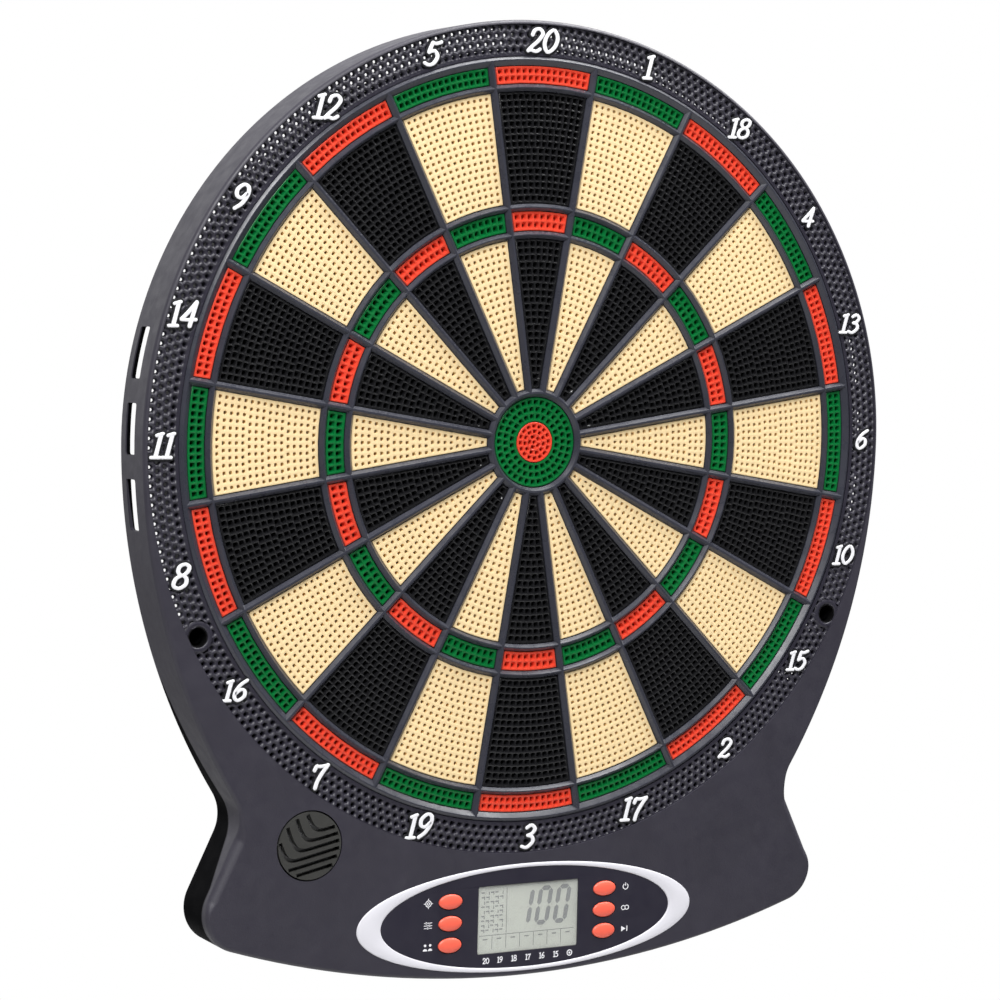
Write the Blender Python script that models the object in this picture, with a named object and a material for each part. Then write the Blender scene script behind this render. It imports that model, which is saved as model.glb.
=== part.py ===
"""An electronic soft-tip dartboard: scoring segments in a moulded spider, over a rubber mat and a
membrane switch, in a two-part housing with a display, six keys, a speaker and a battery box.

The board hangs upright. X runs to the right, Z up and -Y out of the face. The origin is on the wall
plane, straight behind the bull. Lengths are in millimetres until MM turns them into metres.
"""

import math

import bmesh
import bpy
from mathutils import Matrix

MM = 0.001
GAP = 0.35  # clearance between two pieces that slide or sit in one another
LOOSE = 0.3  # clearance between two pieces that rest on each other
OVERCUT = 1.0  # how far a cutter stands out of what it cuts, and an added shape reaches into it

# Housing outline: a round head, a flatter neck, a waist, two feet and a shallow curved bottom edge.
HEAD_R = 192.0
NECK_R, NECK_ANGLE = 304.0, -1.2
WAIST_Z, WAIST_R = -167.0, 18.3
FOOT_X, FOOT_Z, FOOT_R = 142.2, -207.8, 17.3
BOTTOM_Z = -248.0
DEPTH = 27.0
WALL = 2.2
FACE_WALL = 3.2
FACE_CUT = FACE_WALL + 2 * OVERCUT
EDGE_ROUND = 4.0
ARC_STEP = 4.0  # degrees between the points of a large arc

# Scoring face: radii of the spider's windows, and the widths of its ribs.
NUMBERS = (20, 1, 18, 4, 13, 6, 10, 15, 2, 17, 3, 19, 7, 16, 8, 11, 14, 9, 12, 5)
SECTOR = 360.0 / len(NUMBERS)
WINDOWS = {
    "inner_single": (24.6, 93.4),
    "treble": (96.6, 105.9),
    "outer_single": (109.1, 160.0),
    "double": (163.2, 171.6),
}
SPOKE_HALF = 1.8
HUB_R = 21.0
SPIDER_R = 175.5
SPIDER_FLANGE_REACH, SPIDER_FLANGE_THICK = 3.4, 2.0
CATCH_RING = (176.9, 188.0)
CATCH_DEPTH = 1.2
INNER_BULL_R = 9.25

# Layers from front to back, as Y.
Y_FACE = -DEPTH
Y_CAVITY = Y_FACE + FACE_WALL
Y_SEGMENT = -25.2
Y_SPIDER_BACK = -18.0
Y_FLANGE = Y_SPIDER_BACK + 0.4
Y_SEGMENT_BACK = -16.2
Y_MAT = -15.0
MAT_THICK = 1.6
FILM_THICK = 0.4
BOARD_THICK = 3.0
LAYER_R = SPIDER_R - 1.0  # the mat, the membrane's layers and the board
COVER_THICK = 2.4
COVER_R = 178.6  # the cover's round part; an open gutter is left between it and the side wall
COVER_SHOULDER = -112.0  # height at which the round part ends
COVER_RIBS, RIB_THICK = (60.0, 140.0), 1.6

# Wall screws go through the face into a tube that reaches the wall.
WALL_SCREW_R = 185.5
WALL_SCREW_ANGLE = -27.0
WALL_SCREW_SEAT = -4.0
WALL_TUBE_R, WALL_HEAD_R, WALL_SHANK_R = 6.2, 4.5, 3.0

# Slots in the two side walls.
SLOT_Z = (38.5, 5.5, -27.5)
SLOT_LENGTH, SLOT_WIDTH, SLOT_REACH = 22.5, 10.5, 24.0
SLOT_Y = -11.5

# Control panel.
PANEL_X, PANEL_Z = 1.6, -220.4
TRIM = (88.4, 25.2)
PANEL = (76.2, 23.2)
PANEL_RECESS = 1.0
DISPLAY_W, DISPLAY_H = 53.0, 31.6
LENS_SET_BACK, LENS_THICK = 0.2, 0.8
LCD_MARGIN, LCD_BASE_THICK = 6.0, 2.8
TRIM_PROUD = 0.3
KEY_X, KEY_STEP = 40.8, 10.1
KEY_HALF = (6.0, 3.5)
KEY_NAMES = ("upper", "middle", "lower")
KEY_PROUD = 1.2

# Speaker, batteries and boards.
SPEAKER_X, SPEAKER_Z, GRILLE_R = -110.7, -179.3, 15.7
CELL_R, CELL_LENGTH, CELL_PITCH = 7.1, 50.2, 15.0
BATTERY_Z = -215.2
BATTERY_W, BATTERY_H = 56.0, 45.6
BATTERY_FRONT = -17.2
BATTERY_WALL = 1.2
DOOR_THICK = 1.5
PCB_FRONT, PCB_THICK = -20.4, 1.6
PCB_W, PCB_TOP, PCB_BOTTOM = 120.0, -184.0, -238.0
TAIL_X, TAIL_W = 36.0, 28.0  # the membrane's two flat tails

# Housing screws: around the head by angle, and in the lower body by place.
HEAD_SCREW_R = 183.2
HEAD_SCREW_ANGLES = (38.0, 90.0, 142.0)
BODY_SCREWS = ((-133.0, -206.0), (133.0, -206.0), (-84.0, -232.0), (84.0, -232.0))
LUG_R, LUG_THICK = 5.6, 4.4
BOSS_R, PILOT_R = 3.8, 1.6
SCREW_HEAD_R, SCREW_HEAD_H, SCREW_SHANK_R, SCREW_LENGTH = 2.9, 1.7, 1.2, 12.0


# ---------------------------------------------------------------- outlines, as lists of (x, z)

def polar(radius, degrees, centre=(0.0, 0.0)):
    angle = math.radians(degrees)
    return (centre[0] + radius * math.cos(angle), centre[1] + radius * math.sin(angle))


def arc(centre, radius, start, end, step=ARC_STEP):
    """Points along an arc from one angle to another, both ends included."""
    count = max(1, math.ceil(abs(end - start) / step))
    return [polar(radius, start + (end - start) * i / count, centre) for i in range(count + 1)]


def circle(radius, centre=(0.0, 0.0), steps=24):
    return [polar(radius, 360.0 * i / steps, centre) for i in range(steps)]


def ellipse(half_x, half_z, centre=(0.0, 0.0), steps=24):
    turns = [2 * math.pi * i / steps for i in range(steps)]
    return [(centre[0] + half_x * math.cos(t), centre[1] + half_z * math.sin(t)) for t in turns]


def rectangle(width, height, centre=(0.0, 0.0), corner=1.0, step=30.0):
    """A rectangle with round corners, anticlockwise from the upper right one."""
    points = []
    for i, (sx, sz) in enumerate(((1, 1), (-1, 1), (-1, -1), (1, -1))):
        middle = (centre[0] + sx * (width / 2 - corner), centre[1] + sz * (height / 2 - corner))
        points += arc(middle, corner, 90.0 * i, 90.0 * (i + 1), step)
    return points


def tangent_normal(convex, concave, reach):
    """Angle of the normal of the straight line that touches a convex and a concave circle above it."""
    dx, dz = concave[0] - convex[0], concave[1] - convex[1]
    return math.degrees(math.atan2(dz, dx) - math.acos(reach / math.hypot(dx, dz)))


def body_outline(inset=0.0, top=90.0):
    """The housing's outline, moved inwards by inset. Its right half starts at the angle top."""
    neck = polar(HEAD_R - NECK_R, NECK_ANGLE)
    drop = neck[1] - WAIST_Z
    waist = (neck[0] + math.sqrt((NECK_R + WAIST_R) ** 2 - drop**2), WAIST_Z)
    shoulder = -math.degrees(math.asin(drop / (NECK_R + WAIST_R)))
    foot = (FOOT_X, FOOT_Z)
    down = -BOTTOM_Z - FOOT_R
    centre_z = (FOOT_X**2 + FOOT_Z**2 - down**2) / (2 * (down + FOOT_Z))
    bottom_r = centre_z - BOTTOM_Z
    flare = tangent_normal(foot, waist, FOOT_R + WAIST_R)
    toe = math.degrees(math.atan2(FOOT_Z - centre_z, FOOT_X))
    half = arc((0.0, 0.0), HEAD_R - inset, top, NECK_ANGLE)
    half += arc(neck, NECK_R - inset, NECK_ANGLE, shoulder)[1:]
    half += arc(waist, WAIST_R + inset, shoulder + 180, flare + 180, 8.0)
    half += arc(foot, FOOT_R - inset, flare, toe, 12.0)
    half += arc((0.0, centre_z), bottom_r - inset, toe, -90.0)[1:]
    return half + [(-x, z) for x, z in reversed(half) if abs(x) > 0.01]


def cell(r_in, r_out, edge, step=3.0):
    """A scoring window centred on the upward direction. Edge is its distance from each spoke's middle."""
    def half_angle(radius):
        return SECTOR / 2 - math.degrees(math.asin(edge / radius))

    outer, inner = half_angle(r_out), half_angle(r_in)
    points = arc((0.0, 0.0), r_out, 90 - outer, 90 + outer, step)
    return points + arc((0.0, 0.0), r_in, 90 + inner, 90 - inner, 3 * step)


def turned(points, degrees):
    """The points turned clockwise about the bull, as the face is seen."""
    c, s = math.cos(math.radians(degrees)), math.sin(math.radians(degrees))
    return [(x * c + z * s, z * c - x * s) for x, z in points]


# ---------------------------------------------------------------- objects

def collection(name):
    found = bpy.data.collections.new(name)
    bpy.context.scene.collection.children.link(found)
    return found


def material(name, colour, roughness, metallic=0.0):
    made = bpy.data.materials.new(name)
    made.use_nodes = True
    shader = made.node_tree.nodes["Principled BSDF"]
    shader.inputs["Base Color"].default_value = (*colour, 1.0)
    shader.inputs["Roughness"].default_value = roughness
    shader.inputs["Metallic"].default_value = metallic
    return made


def solid(name, outlines, thickness):
    """A mesh object cut from flat outlines: its front is at local Y 0 and its back at the thickness.

    A second outline inside the first is a hole."""
    curve = bpy.data.curves.new(name, "CURVE")
    curve.dimensions = "2D"
    curve.fill_mode = "BOTH"
    curve.extrude = thickness / 2 * MM
    for outline in outlines:
        spline = curve.splines.new("POLY")
        spline.points.add(len(outline) - 1)
        for point, (x, z) in zip(spline.points, outline):
            point.co = (x * MM, z * MM, 0.0, 1.0)
        spline.use_cyclic_u = True
    drawn = bpy.data.objects.new(name + "_outline", curve)
    bpy.context.scene.collection.objects.link(drawn)
    bpy.context.view_layer.update()
    mesh = bpy.data.meshes.new_from_object(drawn.evaluated_get(bpy.context.evaluated_depsgraph_get()))
    bpy.data.objects.remove(drawn)
    upright = Matrix.Translation((0, thickness / 2 * MM, 0)) @ Matrix.Rotation(math.pi / 2, 4, "X")
    mesh.transform(upright)
    shape = bmesh.new()
    shape.from_mesh(mesh)
    bmesh.ops.remove_doubles(shape, verts=shape.verts, dist=1e-6)
    bmesh.ops.recalc_face_normals(shape, faces=shape.faces)
    if len(outlines) == 1:
        bmesh.ops.dissolve_limit(shape, angle_limit=0.01, verts=shape.verts, edges=shape.edges)
    shape.to_mesh(mesh)
    shape.free()
    mesh.name = name
    return bpy.data.objects.new(name, mesh)


def cylinder(name, radius, length, steps=24, taper=None):
    """A round solid along Y: its front end is at local Y 0. Taper is the radius at the back end."""
    mesh = bpy.data.meshes.new(name)
    shape = bmesh.new()
    bmesh.ops.create_cone(
        shape,
        cap_ends=True,
        segments=steps,
        radius1=radius * MM,
        radius2=(radius if taper is None else taper) * MM,
        depth=length * MM,
        matrix=Matrix.Translation((0, length / 2 * MM, 0)) @ Matrix.Rotation(-math.pi / 2, 4, "X"),
    )
    shape.to_mesh(mesh)
    shape.free()
    return bpy.data.objects.new(name, mesh)


def box(name, size):
    """A box whose size is (x, y, z), with its front at local Y 0 and its middle there in X and Z."""
    mesh = bpy.data.meshes.new(name)
    shape = bmesh.new()
    bmesh.ops.create_cube(shape, size=1.0)
    bmesh.ops.scale(shape, vec=[side * MM for side in size], verts=shape.verts)
    bmesh.ops.translate(shape, vec=(0, size[1] / 2 * MM, 0), verts=shape.verts)
    shape.to_mesh(mesh)
    shape.free()
    return bpy.data.objects.new(name, mesh)


def put(obj, x, y, z):
    obj.location = (x * MM, y * MM, z * MM)
    return obj


def part(obj, paint):
    """Adds a finished piece to the dartboard."""
    obj.data.materials.append(paint)
    BOARD.objects.link(obj)
    obj.parent = ORIGIN
    obj.data.shade_smooth()
    obj.data.set_sharp_from_angle(angle=math.radians(35))
    return obj


def helper(obj):
    """Keeps a cutter or an added shape out of renders."""
    TOOLS.objects.link(obj)
    obj.hide_render = True
    obj.display_type = "WIRE"
    return obj


def combine(obj, other, operation):
    helper(other)
    modifier = obj.modifiers.new(other.name, "BOOLEAN")
    modifier.operation = operation
    modifier.solver = "EXACT"
    modifier.object = other
    return obj


def cut(obj, cutter):
    return combine(obj, cutter, "DIFFERENCE")


def add(obj, other):
    return combine(obj, other, "UNION")


def frozen(obj):
    """The object's mesh with its modifiers applied, for copies of it. The object itself goes."""
    TOOLS.objects.link(obj)
    bpy.context.view_layer.update()
    mesh = bpy.data.meshes.new_from_object(obj.evaluated_get(bpy.context.evaluated_depsgraph_get()))
    bpy.data.objects.remove(obj)
    return mesh


def round_front_edge(obj, radius, segments):
    """Rounds the rim of a plain solid's front face."""
    shape = bmesh.new()
    shape.from_mesh(obj.data)
    rim = [e for e in shape.edges if all(v.co.y < 1e-6 for v in e.verts)]
    bmesh.ops.bevel(
        shape, geom=rim, offset=radius * MM, segments=segments, profile=0.5, affect="EDGES"
    )
    shape.to_mesh(obj.data)
    shape.free()
    return obj


# ---------------------------------------------------------------- housing

def wall_screw_places():
    x, z = polar(WALL_SCREW_R, WALL_SCREW_ANGLE)
    return {"left": (-x, z), "right": (x, z)}


def housing_screw_places():
    return [polar(HEAD_SCREW_R, a) for a in HEAD_SCREW_ANGLES] + list(BODY_SCREWS)


def key_places():
    places = {}
    for side, x in (("left", -KEY_X), ("right", KEY_X)):
        for i, level in enumerate(KEY_NAMES):
            places[f"{level}_{side}"] = (PANEL_X + x, PANEL_Z + (1 - i) * KEY_STEP)
    return places


def grille_slots():
    """Wavy slots across the speaker: each runs down from the left, bends and rises to the right."""
    half_width = 0.75
    slots = []
    for i in range(6):
        level = 9.0 - 4.2 * i
        centre_line = []
        for j in range(7):
            x = -12.0 + 24.0 * j / 6
            z = level + 0.012 * (x + 4.0) ** 2 + 1.6 * x / 12.0
            if math.hypot(x, z) < GRILLE_R - 2.2:
                centre_line.append((x, z))
        if len(centre_line) < 3:
            continue
        upper = [(x, z + half_width) for x, z in centre_line]
        lower = [(x, z - half_width) for x, z in reversed(centre_line)]
        slots.append(upper + lower)
    return slots


def cut_face(shell, cutter, x=0.0, z=0.0):
    """Cuts into the face wall from the front."""
    return cut(shell, put(cutter, x, Y_FACE - OVERCUT, z))


def front_housing(paint):
    """The front shell: face wall, side walls, catch ring, bosses, and the openings for the controls."""
    shell = round_front_edge(solid("front_housing", [body_outline()], DEPTH), EDGE_ROUND, 2)
    put(shell, 0, Y_FACE, 0)
    cut(shell, put(solid("cavity", [body_outline(WALL)], DEPTH), 0, Y_CAVITY, 0))
    for i, (x, z) in enumerate(housing_screw_places()):
        boss = cylinder(f"boss_{i}", BOSS_R, -LUG_THICK - LOOSE - Y_CAVITY + OVERCUT, 12)
        add(shell, put(boss, x, Y_CAVITY - OVERCUT, z))
        pilot = cylinder(f"pilot_{i}", PILOT_R, SCREW_LENGTH + OVERCUT, 8)
        cut(shell, put(pilot, x, -LUG_THICK - LOOSE - SCREW_LENGTH, z))
    for side, (x, z) in wall_screw_places().items():
        tube = cylinder(f"wall_tube_{side}", WALL_TUBE_R, -Y_CAVITY + OVERCUT, 16)
        add(shell, put(tube, x, Y_CAVITY - OVERCUT, z))
    cut_face(shell, cylinder("face_opening", SPIDER_R + GAP, FACE_CUT, 72))
    cut_face(shell, solid("catch_recess", [circle(r, steps=72) for r in CATCH_RING], CATCH_DEPTH + OVERCUT))
    for side, (x, z) in wall_screw_places().items():
        head = cylinder(f"wall_head_{side}", WALL_HEAD_R, WALL_SCREW_SEAT - Y_FACE + OVERCUT, 16)
        cut_face(shell, head, x, z)
        shank = cylinder(f"wall_shank_{side}", WALL_SHANK_R, -WALL_SCREW_SEAT + 2 * OVERCUT, 12)
        cut(shell, put(shank, x, WALL_SCREW_SEAT - OVERCUT, z))
    for side in (-1, 1):
        for i, z in enumerate(SLOT_Z):
            slot = box(f"side_slot_{side}_{i}", (SLOT_REACH, SLOT_WIDTH, SLOT_LENGTH))
            cut(shell, put(slot, side * HEAD_R, SLOT_Y - SLOT_WIDTH / 2, z))
    recess = ellipse(TRIM[0] + LOOSE, TRIM[1] + LOOSE, steps=48)
    cut_face(shell, solid("panel_recess", [recess], PANEL_RECESS + OVERCUT), PANEL_X, PANEL_Z)
    window = rectangle(DISPLAY_W + 2, DISPLAY_H + 2)
    cut_face(shell, solid("window_opening", [window], FACE_CUT), PANEL_X, PANEL_Z)
    for name, (x, z) in key_places().items():
        hole = ellipse(KEY_HALF[0] + GAP, KEY_HALF[1] + GAP, steps=20)
        cut_face(shell, solid("key_hole_" + name, [hole], FACE_CUT), x, z)
    for i, slot in enumerate(grille_slots()):
        cut_face(shell, solid(f"grille_slot_{i}", [slot], FACE_CUT), SPEAKER_X, SPEAKER_Z)
    return part(shell, paint)


def rear_outline():
    """The cover's outline: a disc for the head, run into the inset shape of the lower body."""
    lower = [p for p in body_outline(WALL + GAP) if p[1] < COVER_SHOULDER - 6.0]
    turn = math.degrees(math.asin(COVER_SHOULDER / COVER_R))
    return arc((0.0, 0.0), COVER_R, turn, 180 - turn) + list(reversed(lower))


def rear_cover(paint):
    """The back plate, with screw lugs, ribs that hold the board, and the battery box."""
    cover = put(solid("rear_cover", [rear_outline()], COVER_THICK), 0, -COVER_THICK, 0)
    rib_front = Y_MAT + MAT_THICK + 3 * (LOOSE + FILM_THICK) + LOOSE + BOARD_THICK + LOOSE
    for i, radius in enumerate(COVER_RIBS):
        edges = [circle(radius, steps=36), circle(radius - RIB_THICK, steps=36)]
        add(cover, put(solid(f"cover_rib_{i}", edges, -rib_front - OVERCUT), 0, rib_front, 0))
    rim_front = Y_CAVITY + LOOSE + SPIDER_FLANGE_THICK + LOOSE
    edges = [circle(COVER_R - 0.5, steps=72), circle(COVER_R - 2.0, steps=72)]
    add(cover, put(solid("cover_rim", edges, -rim_front - OVERCUT), 0, rim_front, 0))
    gap_width = 2 * TAIL_X + TAIL_W + 6.0
    gap = box("tail_gap", (gap_width, -rim_front - COVER_THICK, 20))
    cut(cover, put(gap, 0, rim_front - OVERCUT, -COVER_R + 3))
    for i, (x, z) in enumerate(housing_screw_places()):
        add(cover, put(cylinder(f"lug_{i}", LUG_R, LUG_THICK - 0.02, 16), x, -LUG_THICK, z))
    for i, (x, z) in enumerate(housing_screw_places()):
        cut(cover, put(cylinder(f"lug_head_{i}", SCREW_HEAD_R + GAP, 4, 12), x, -SCREW_HEAD_H - 0.7, z))
        cut(cover, put(cylinder(f"lug_hole_{i}", PILOT_R, 8, 8), x, -6, z))
    outside = (BATTERY_W + 2 * BATTERY_WALL, -BATTERY_FRONT + BATTERY_WALL - 1, BATTERY_H + 2 * BATTERY_WALL)
    add(cover, put(box("battery_box", outside), 0, BATTERY_FRONT - BATTERY_WALL, BATTERY_Z))
    inside = box("battery_space", (BATTERY_W, -BATTERY_FRONT + OVERCUT, BATTERY_H))
    cut(cover, put(inside, 0, BATTERY_FRONT, BATTERY_Z))
    seat = solid("door_seat", [rectangle(*door_size(GAP), corner=2.0)], DOOR_THICK + LOOSE + OVERCUT)
    cut(cover, put(seat, 0, -DOOR_THICK - LOOSE, BATTERY_Z))
    return part(cover, paint)


def door_size(extra=0.0):
    return BATTERY_W + 3 + 2 * extra, BATTERY_H + 3 + 2 * extra


# ---------------------------------------------------------------- scoring face

def spider_grid(paint):
    """The moulded grid: one window for every segment, and a flange that sits behind the face wall."""
    outlines = [circle(SPIDER_R, steps=72), circle(HUB_R, steps=40)]
    for k in range(len(NUMBERS)):
        for r_in, r_out in WINDOWS.values():
            outlines.append(turned(cell(r_in, r_out, SPOKE_HALF, 6.0), k * SECTOR))
    grid = put(solid("spider_grid", outlines, Y_SPIDER_BACK - Y_FACE), 0, Y_FACE, 0)
    edges = [circle(SPIDER_R + SPIDER_FLANGE_REACH, steps=72), circle(SPIDER_R - 2, steps=72)]
    add(grid, put(solid("spider_flange", edges, SPIDER_FLANGE_THICK), 0, Y_CAVITY + LOOSE, 0))
    return part(grid, paint)


def segment_group(paints):
    """One number's four segments on their common flange, and a copy of them for every number."""
    flange_edge = 0.5
    inner, outer = WINDOWS["inner_single"][0] - 0.3, WINDOWS["double"][1] + 1.9
    base = solid("segment_flange", [cell(inner, outer, flange_edge, 6.0)], Y_SEGMENT_BACK - Y_FLANGE)
    for window, (r_in, r_out) in WINDOWS.items():
        outline = cell(r_in + GAP, r_out - GAP, SPOKE_HALF + GAP, 6.0)
        plate = solid("plate_" + window, [outline], Y_FLANGE - Y_SEGMENT + 0.5)
        add(base, put(plate, 0, Y_SEGMENT - Y_FLANGE, 0))
    mesh = frozen(base)
    for k, number in enumerate(NUMBERS):
        name = f"segments_{number:02d}"
        copy = bpy.data.objects.new(name, mesh.copy())
        copy.rotation_euler = (0, math.radians(k * SECTOR), 0)
        put(copy, 0, Y_FLANGE, 0)
        part(copy, paints[k % 2])


def bulls(green, red):
    """The ring-shaped outer bull, and the inner bull that moves inside it."""
    plate_r, flange_r = HUB_R - GAP, HUB_R + 2.2
    outer = put(cylinder("outer_bull", plate_r, Y_FLANGE - Y_SEGMENT + 0.5, 48), 0, Y_SEGMENT, 0)
    flange = cylinder("outer_bull_flange", flange_r, Y_SEGMENT_BACK - Y_FLANGE, 48)
    add(outer, put(flange, 0, Y_FLANGE, 0))
    cut(outer, put(cylinder("inner_bull_bore", INNER_BULL_R + GAP, 12, 32), 0, Y_SEGMENT - 1, 0))
    cut(outer, put(cylinder("inner_flange_bore", INNER_BULL_R + 2.8, 6, 32), 0, Y_SEGMENT_BACK - 2.4, 0))
    part(outer, green)
    inner = put(cylinder("inner_bull", INNER_BULL_R, Y_SEGMENT_BACK - Y_SEGMENT, 32), 0, Y_SEGMENT, 0)
    stop = cylinder("inner_bull_flange", INNER_BULL_R + 2.2, 1.2, 32)
    add(inner, put(stop, 0, Y_SEGMENT_BACK - 1.2, 0))
    part(inner, red)


def sensing_layers(rubber, film, board):
    """The rubber mat, the membrane switch's three layers and the board behind them."""
    y = Y_MAT
    layers = (
        ("rubber_mat", MAT_THICK, rubber),
        ("membrane_front_film", FILM_THICK, film),
        ("membrane_spacer", FILM_THICK, film),
        ("membrane_rear_film", FILM_THICK, film),
        ("backing_board", BOARD_THICK, board),
    )
    for name, thickness, paint in layers:
        part(put(cylinder(name, LAYER_R, thickness, 60), 0, y, 0), paint)
        y += thickness + LOOSE


def membrane_tails(film):
    """The membrane's two flat tails, which run down to the back of the circuit board."""
    low, high, bend = PCB_FRONT + PCB_THICK + LOOSE, Y_MAT + MAT_THICK + LOOSE, PCB_TOP + 3.0
    top = -LAYER_R - 0.5
    front = [(low, PCB_TOP - 5.0), (low, PCB_TOP), (high, bend), (high, top)]
    profile = front + [(y + FILM_THICK, z) for y, z in reversed(front)]
    for side, x in (("left", -TAIL_X), ("right", TAIL_X)):
        tail = solid("membrane_tail_" + side, [profile], TAIL_W)
        tail.rotation_euler = (0, 0, math.pi / 2)
        part(put(tail, x + TAIL_W / 2, 0, 0), film)


# ---------------------------------------------------------------- controls

def control_panel(dark, white, clear):
    """The dark oval insert, the pale trim round it and the clear window over the display."""
    outlines = [ellipse(*PANEL, steps=48), rectangle(DISPLAY_W, DISPLAY_H)]
    for x, z in key_places().values():
        outlines.append(ellipse(KEY_HALF[0] + GAP, KEY_HALF[1] + GAP, (x - PANEL_X, z - PANEL_Z), 20))
    thickness = PANEL_RECESS - LOOSE
    part(put(solid("control_panel", outlines, thickness), PANEL_X, Y_FACE, PANEL_Z), dark)
    edges = [ellipse(*TRIM, steps=48), ellipse(PANEL[0] + LOOSE, PANEL[1] + LOOSE, steps=48)]
    ring = solid("panel_trim", edges, thickness + TRIM_PROUD)
    part(put(ring, PANEL_X, Y_FACE - TRIM_PROUD, PANEL_Z), white)
    lens = solid("display_window", [rectangle(DISPLAY_W - 2 * LOOSE, DISPLAY_H - 2 * LOOSE)], LENS_THICK)
    part(put(lens, PANEL_X, Y_FACE + LENS_SET_BACK, PANEL_Z), clear)


def keys(paint):
    """Six oval keys, each with a flange behind the face wall."""
    for name, (x, z) in key_places().items():
        key = solid("key_" + name, [ellipse(*KEY_HALF, steps=20)], KEY_PROUD + FACE_WALL + LOOSE + 0.5)
        round_front_edge(key, 0.8, 2)
        flange = solid("key_flange_" + name, [ellipse(KEY_HALF[0] + 1.3, KEY_HALF[1] + 1.2, steps=20)], 1.0)
        add(put(key, x, Y_FACE - KEY_PROUD, z), put(flange, x, Y_CAVITY + LOOSE, z))
        part(key, paint)


def electronics(green, rubber, glass):
    """The circuit board with the display on its front, and the rubber pads under the keys."""
    height = PCB_TOP - PCB_BOTTOM
    board = solid("main_board", [rectangle(PCB_W, height, corner=3.0)], PCB_THICK)
    part(put(board, 0, PCB_FRONT, (PCB_TOP + PCB_BOTTOM) / 2), green)
    base = rectangle(DISPLAY_W + LCD_MARGIN, DISPLAY_H + LCD_MARGIN, corner=0.6)
    module = solid("lcd_module", [base], LCD_BASE_THICK)
    put(module, PANEL_X, PCB_FRONT - LOOSE - LCD_BASE_THICK, PANEL_Z)
    face = Y_FACE + LENS_SET_BACK + LENS_THICK + LOOSE
    outline = rectangle(DISPLAY_W + 0.6, DISPLAY_H + 0.6)
    block = solid("lcd_face", [outline], PCB_FRONT - LOOSE - OVERCUT - face)
    part(add(module, put(block, PANEL_X, face, PANEL_Z)), glass)
    for side, x in (("left", -KEY_X), ("right", KEY_X)):
        pad = solid("keypad_rubber_" + side, [rectangle(18.0, 34.0, corner=2.0)], 0.6)
        part(put(pad, PANEL_X + x + math.copysign(1.6, x), PCB_FRONT - LOOSE - 0.6, PANEL_Z), rubber)


def speaker(paint, wire):
    """The speaker behind its grille, and the lead that joins it to the circuit board."""
    driver = cylinder("speaker", GRILLE_R - 1.2, 3.2, 32)
    add(put(driver, SPEAKER_X, Y_CAVITY + LOOSE, SPEAKER_Z),
        put(cylinder("speaker_magnet", 9.0, 6.0, 24), SPEAKER_X, Y_CAVITY + 3, SPEAKER_Z))
    part(driver, paint)
    start, end = SPEAKER_X + 9.0 + 1.2, -PCB_W / 2 - 1.2
    lead_y = Y_CAVITY + 7.5
    curve = bpy.data.curves.new("speaker_lead", "CURVE")
    curve.dimensions = "3D"
    curve.bevel_depth = 0.7 * MM
    curve.bevel_resolution = 1
    curve.use_fill_caps = True
    spline = curve.splines.new("POLY")
    count = 20
    spline.points.add(count)
    for i, point in enumerate(spline.points):
        t = i / count
        ease = t * t * (3 - 2 * t)
        x = start + (end - start) * t
        y = lead_y + (PCB_FRONT + 0.8 - lead_y) * ease
        z = SPEAKER_Z + (-207.0 - SPEAKER_Z) * ease
        point.co = (x * MM, y * MM, z * MM, 1.0)
    lead = bpy.data.objects.new("speaker_lead", curve)
    BOARD.objects.link(lead)
    lead.parent = ORIGIN
    curve.materials.append(wire)


def batteries(jacket, metal, plastic):
    """Three cells side by side, the contact plates at their ends and the door over them."""
    middle_y = BATTERY_FRONT + 0.7 + CELL_R
    for i in range(3):
        can = cylinder(f"battery_{i + 1}", CELL_R, CELL_LENGTH - 1.4, 24)
        tip = cylinder(f"battery_tip_{i + 1}", 2.6, 2.4, 12)
        place = (CELL_LENGTH / 2, middle_y, BATTERY_Z + (1 - i) * CELL_PITCH)
        for piece, shift in ((can, 0.0), (tip, -(CELL_LENGTH - 2.4))):
            piece.rotation_euler = (0, 0, math.pi / 2)
            put(piece, place[0] + shift, place[1], place[2])
        part(add(can, tip), jacket)
    for side, x in (("left", -BATTERY_W / 2 + LOOSE + 0.5), ("right", BATTERY_W / 2 - LOOSE - 0.5)):
        plate = solid("contact_plate_" + side, [rectangle(11.0, BATTERY_H - 2.0, corner=1.0)], 0.5)
        plate.rotation_euler = (0, 0, math.pi / 2)
        part(put(plate, x + 0.25, middle_y, BATTERY_Z), metal)
    door = solid("battery_door", [rectangle(*door_size(), corner=2.0)], DOOR_THICK)
    part(put(door, 0, -DOOR_THICK, BATTERY_Z), plastic)


def housing_screws(metal):
    """Pan-head screws that hold the cover to the front housing's bosses."""
    for i, (x, z) in enumerate(housing_screw_places()):
        shank = cylinder(f"housing_screw_{i + 1}", SCREW_SHANK_R, SCREW_LENGTH, 10)
        put(shank, x, -SCREW_HEAD_H - 0.35 - SCREW_LENGTH + 0.5, z)
        head = cylinder(f"screw_head_{i + 1}", SCREW_HEAD_R, SCREW_HEAD_H, 16)
        add(shank, put(head, x, -SCREW_HEAD_H - 0.3, z))
        part(shank, metal)


# ---------------------------------------------------------------- assembly

for old in list(bpy.data.objects):
    bpy.data.objects.remove(old)

BOARD = collection("electronic_dartboard")
TOOLS = collection("cutters")
ORIGIN = bpy.data.objects.new("board_origin", None)
BOARD.objects.link(ORIGIN)

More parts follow.
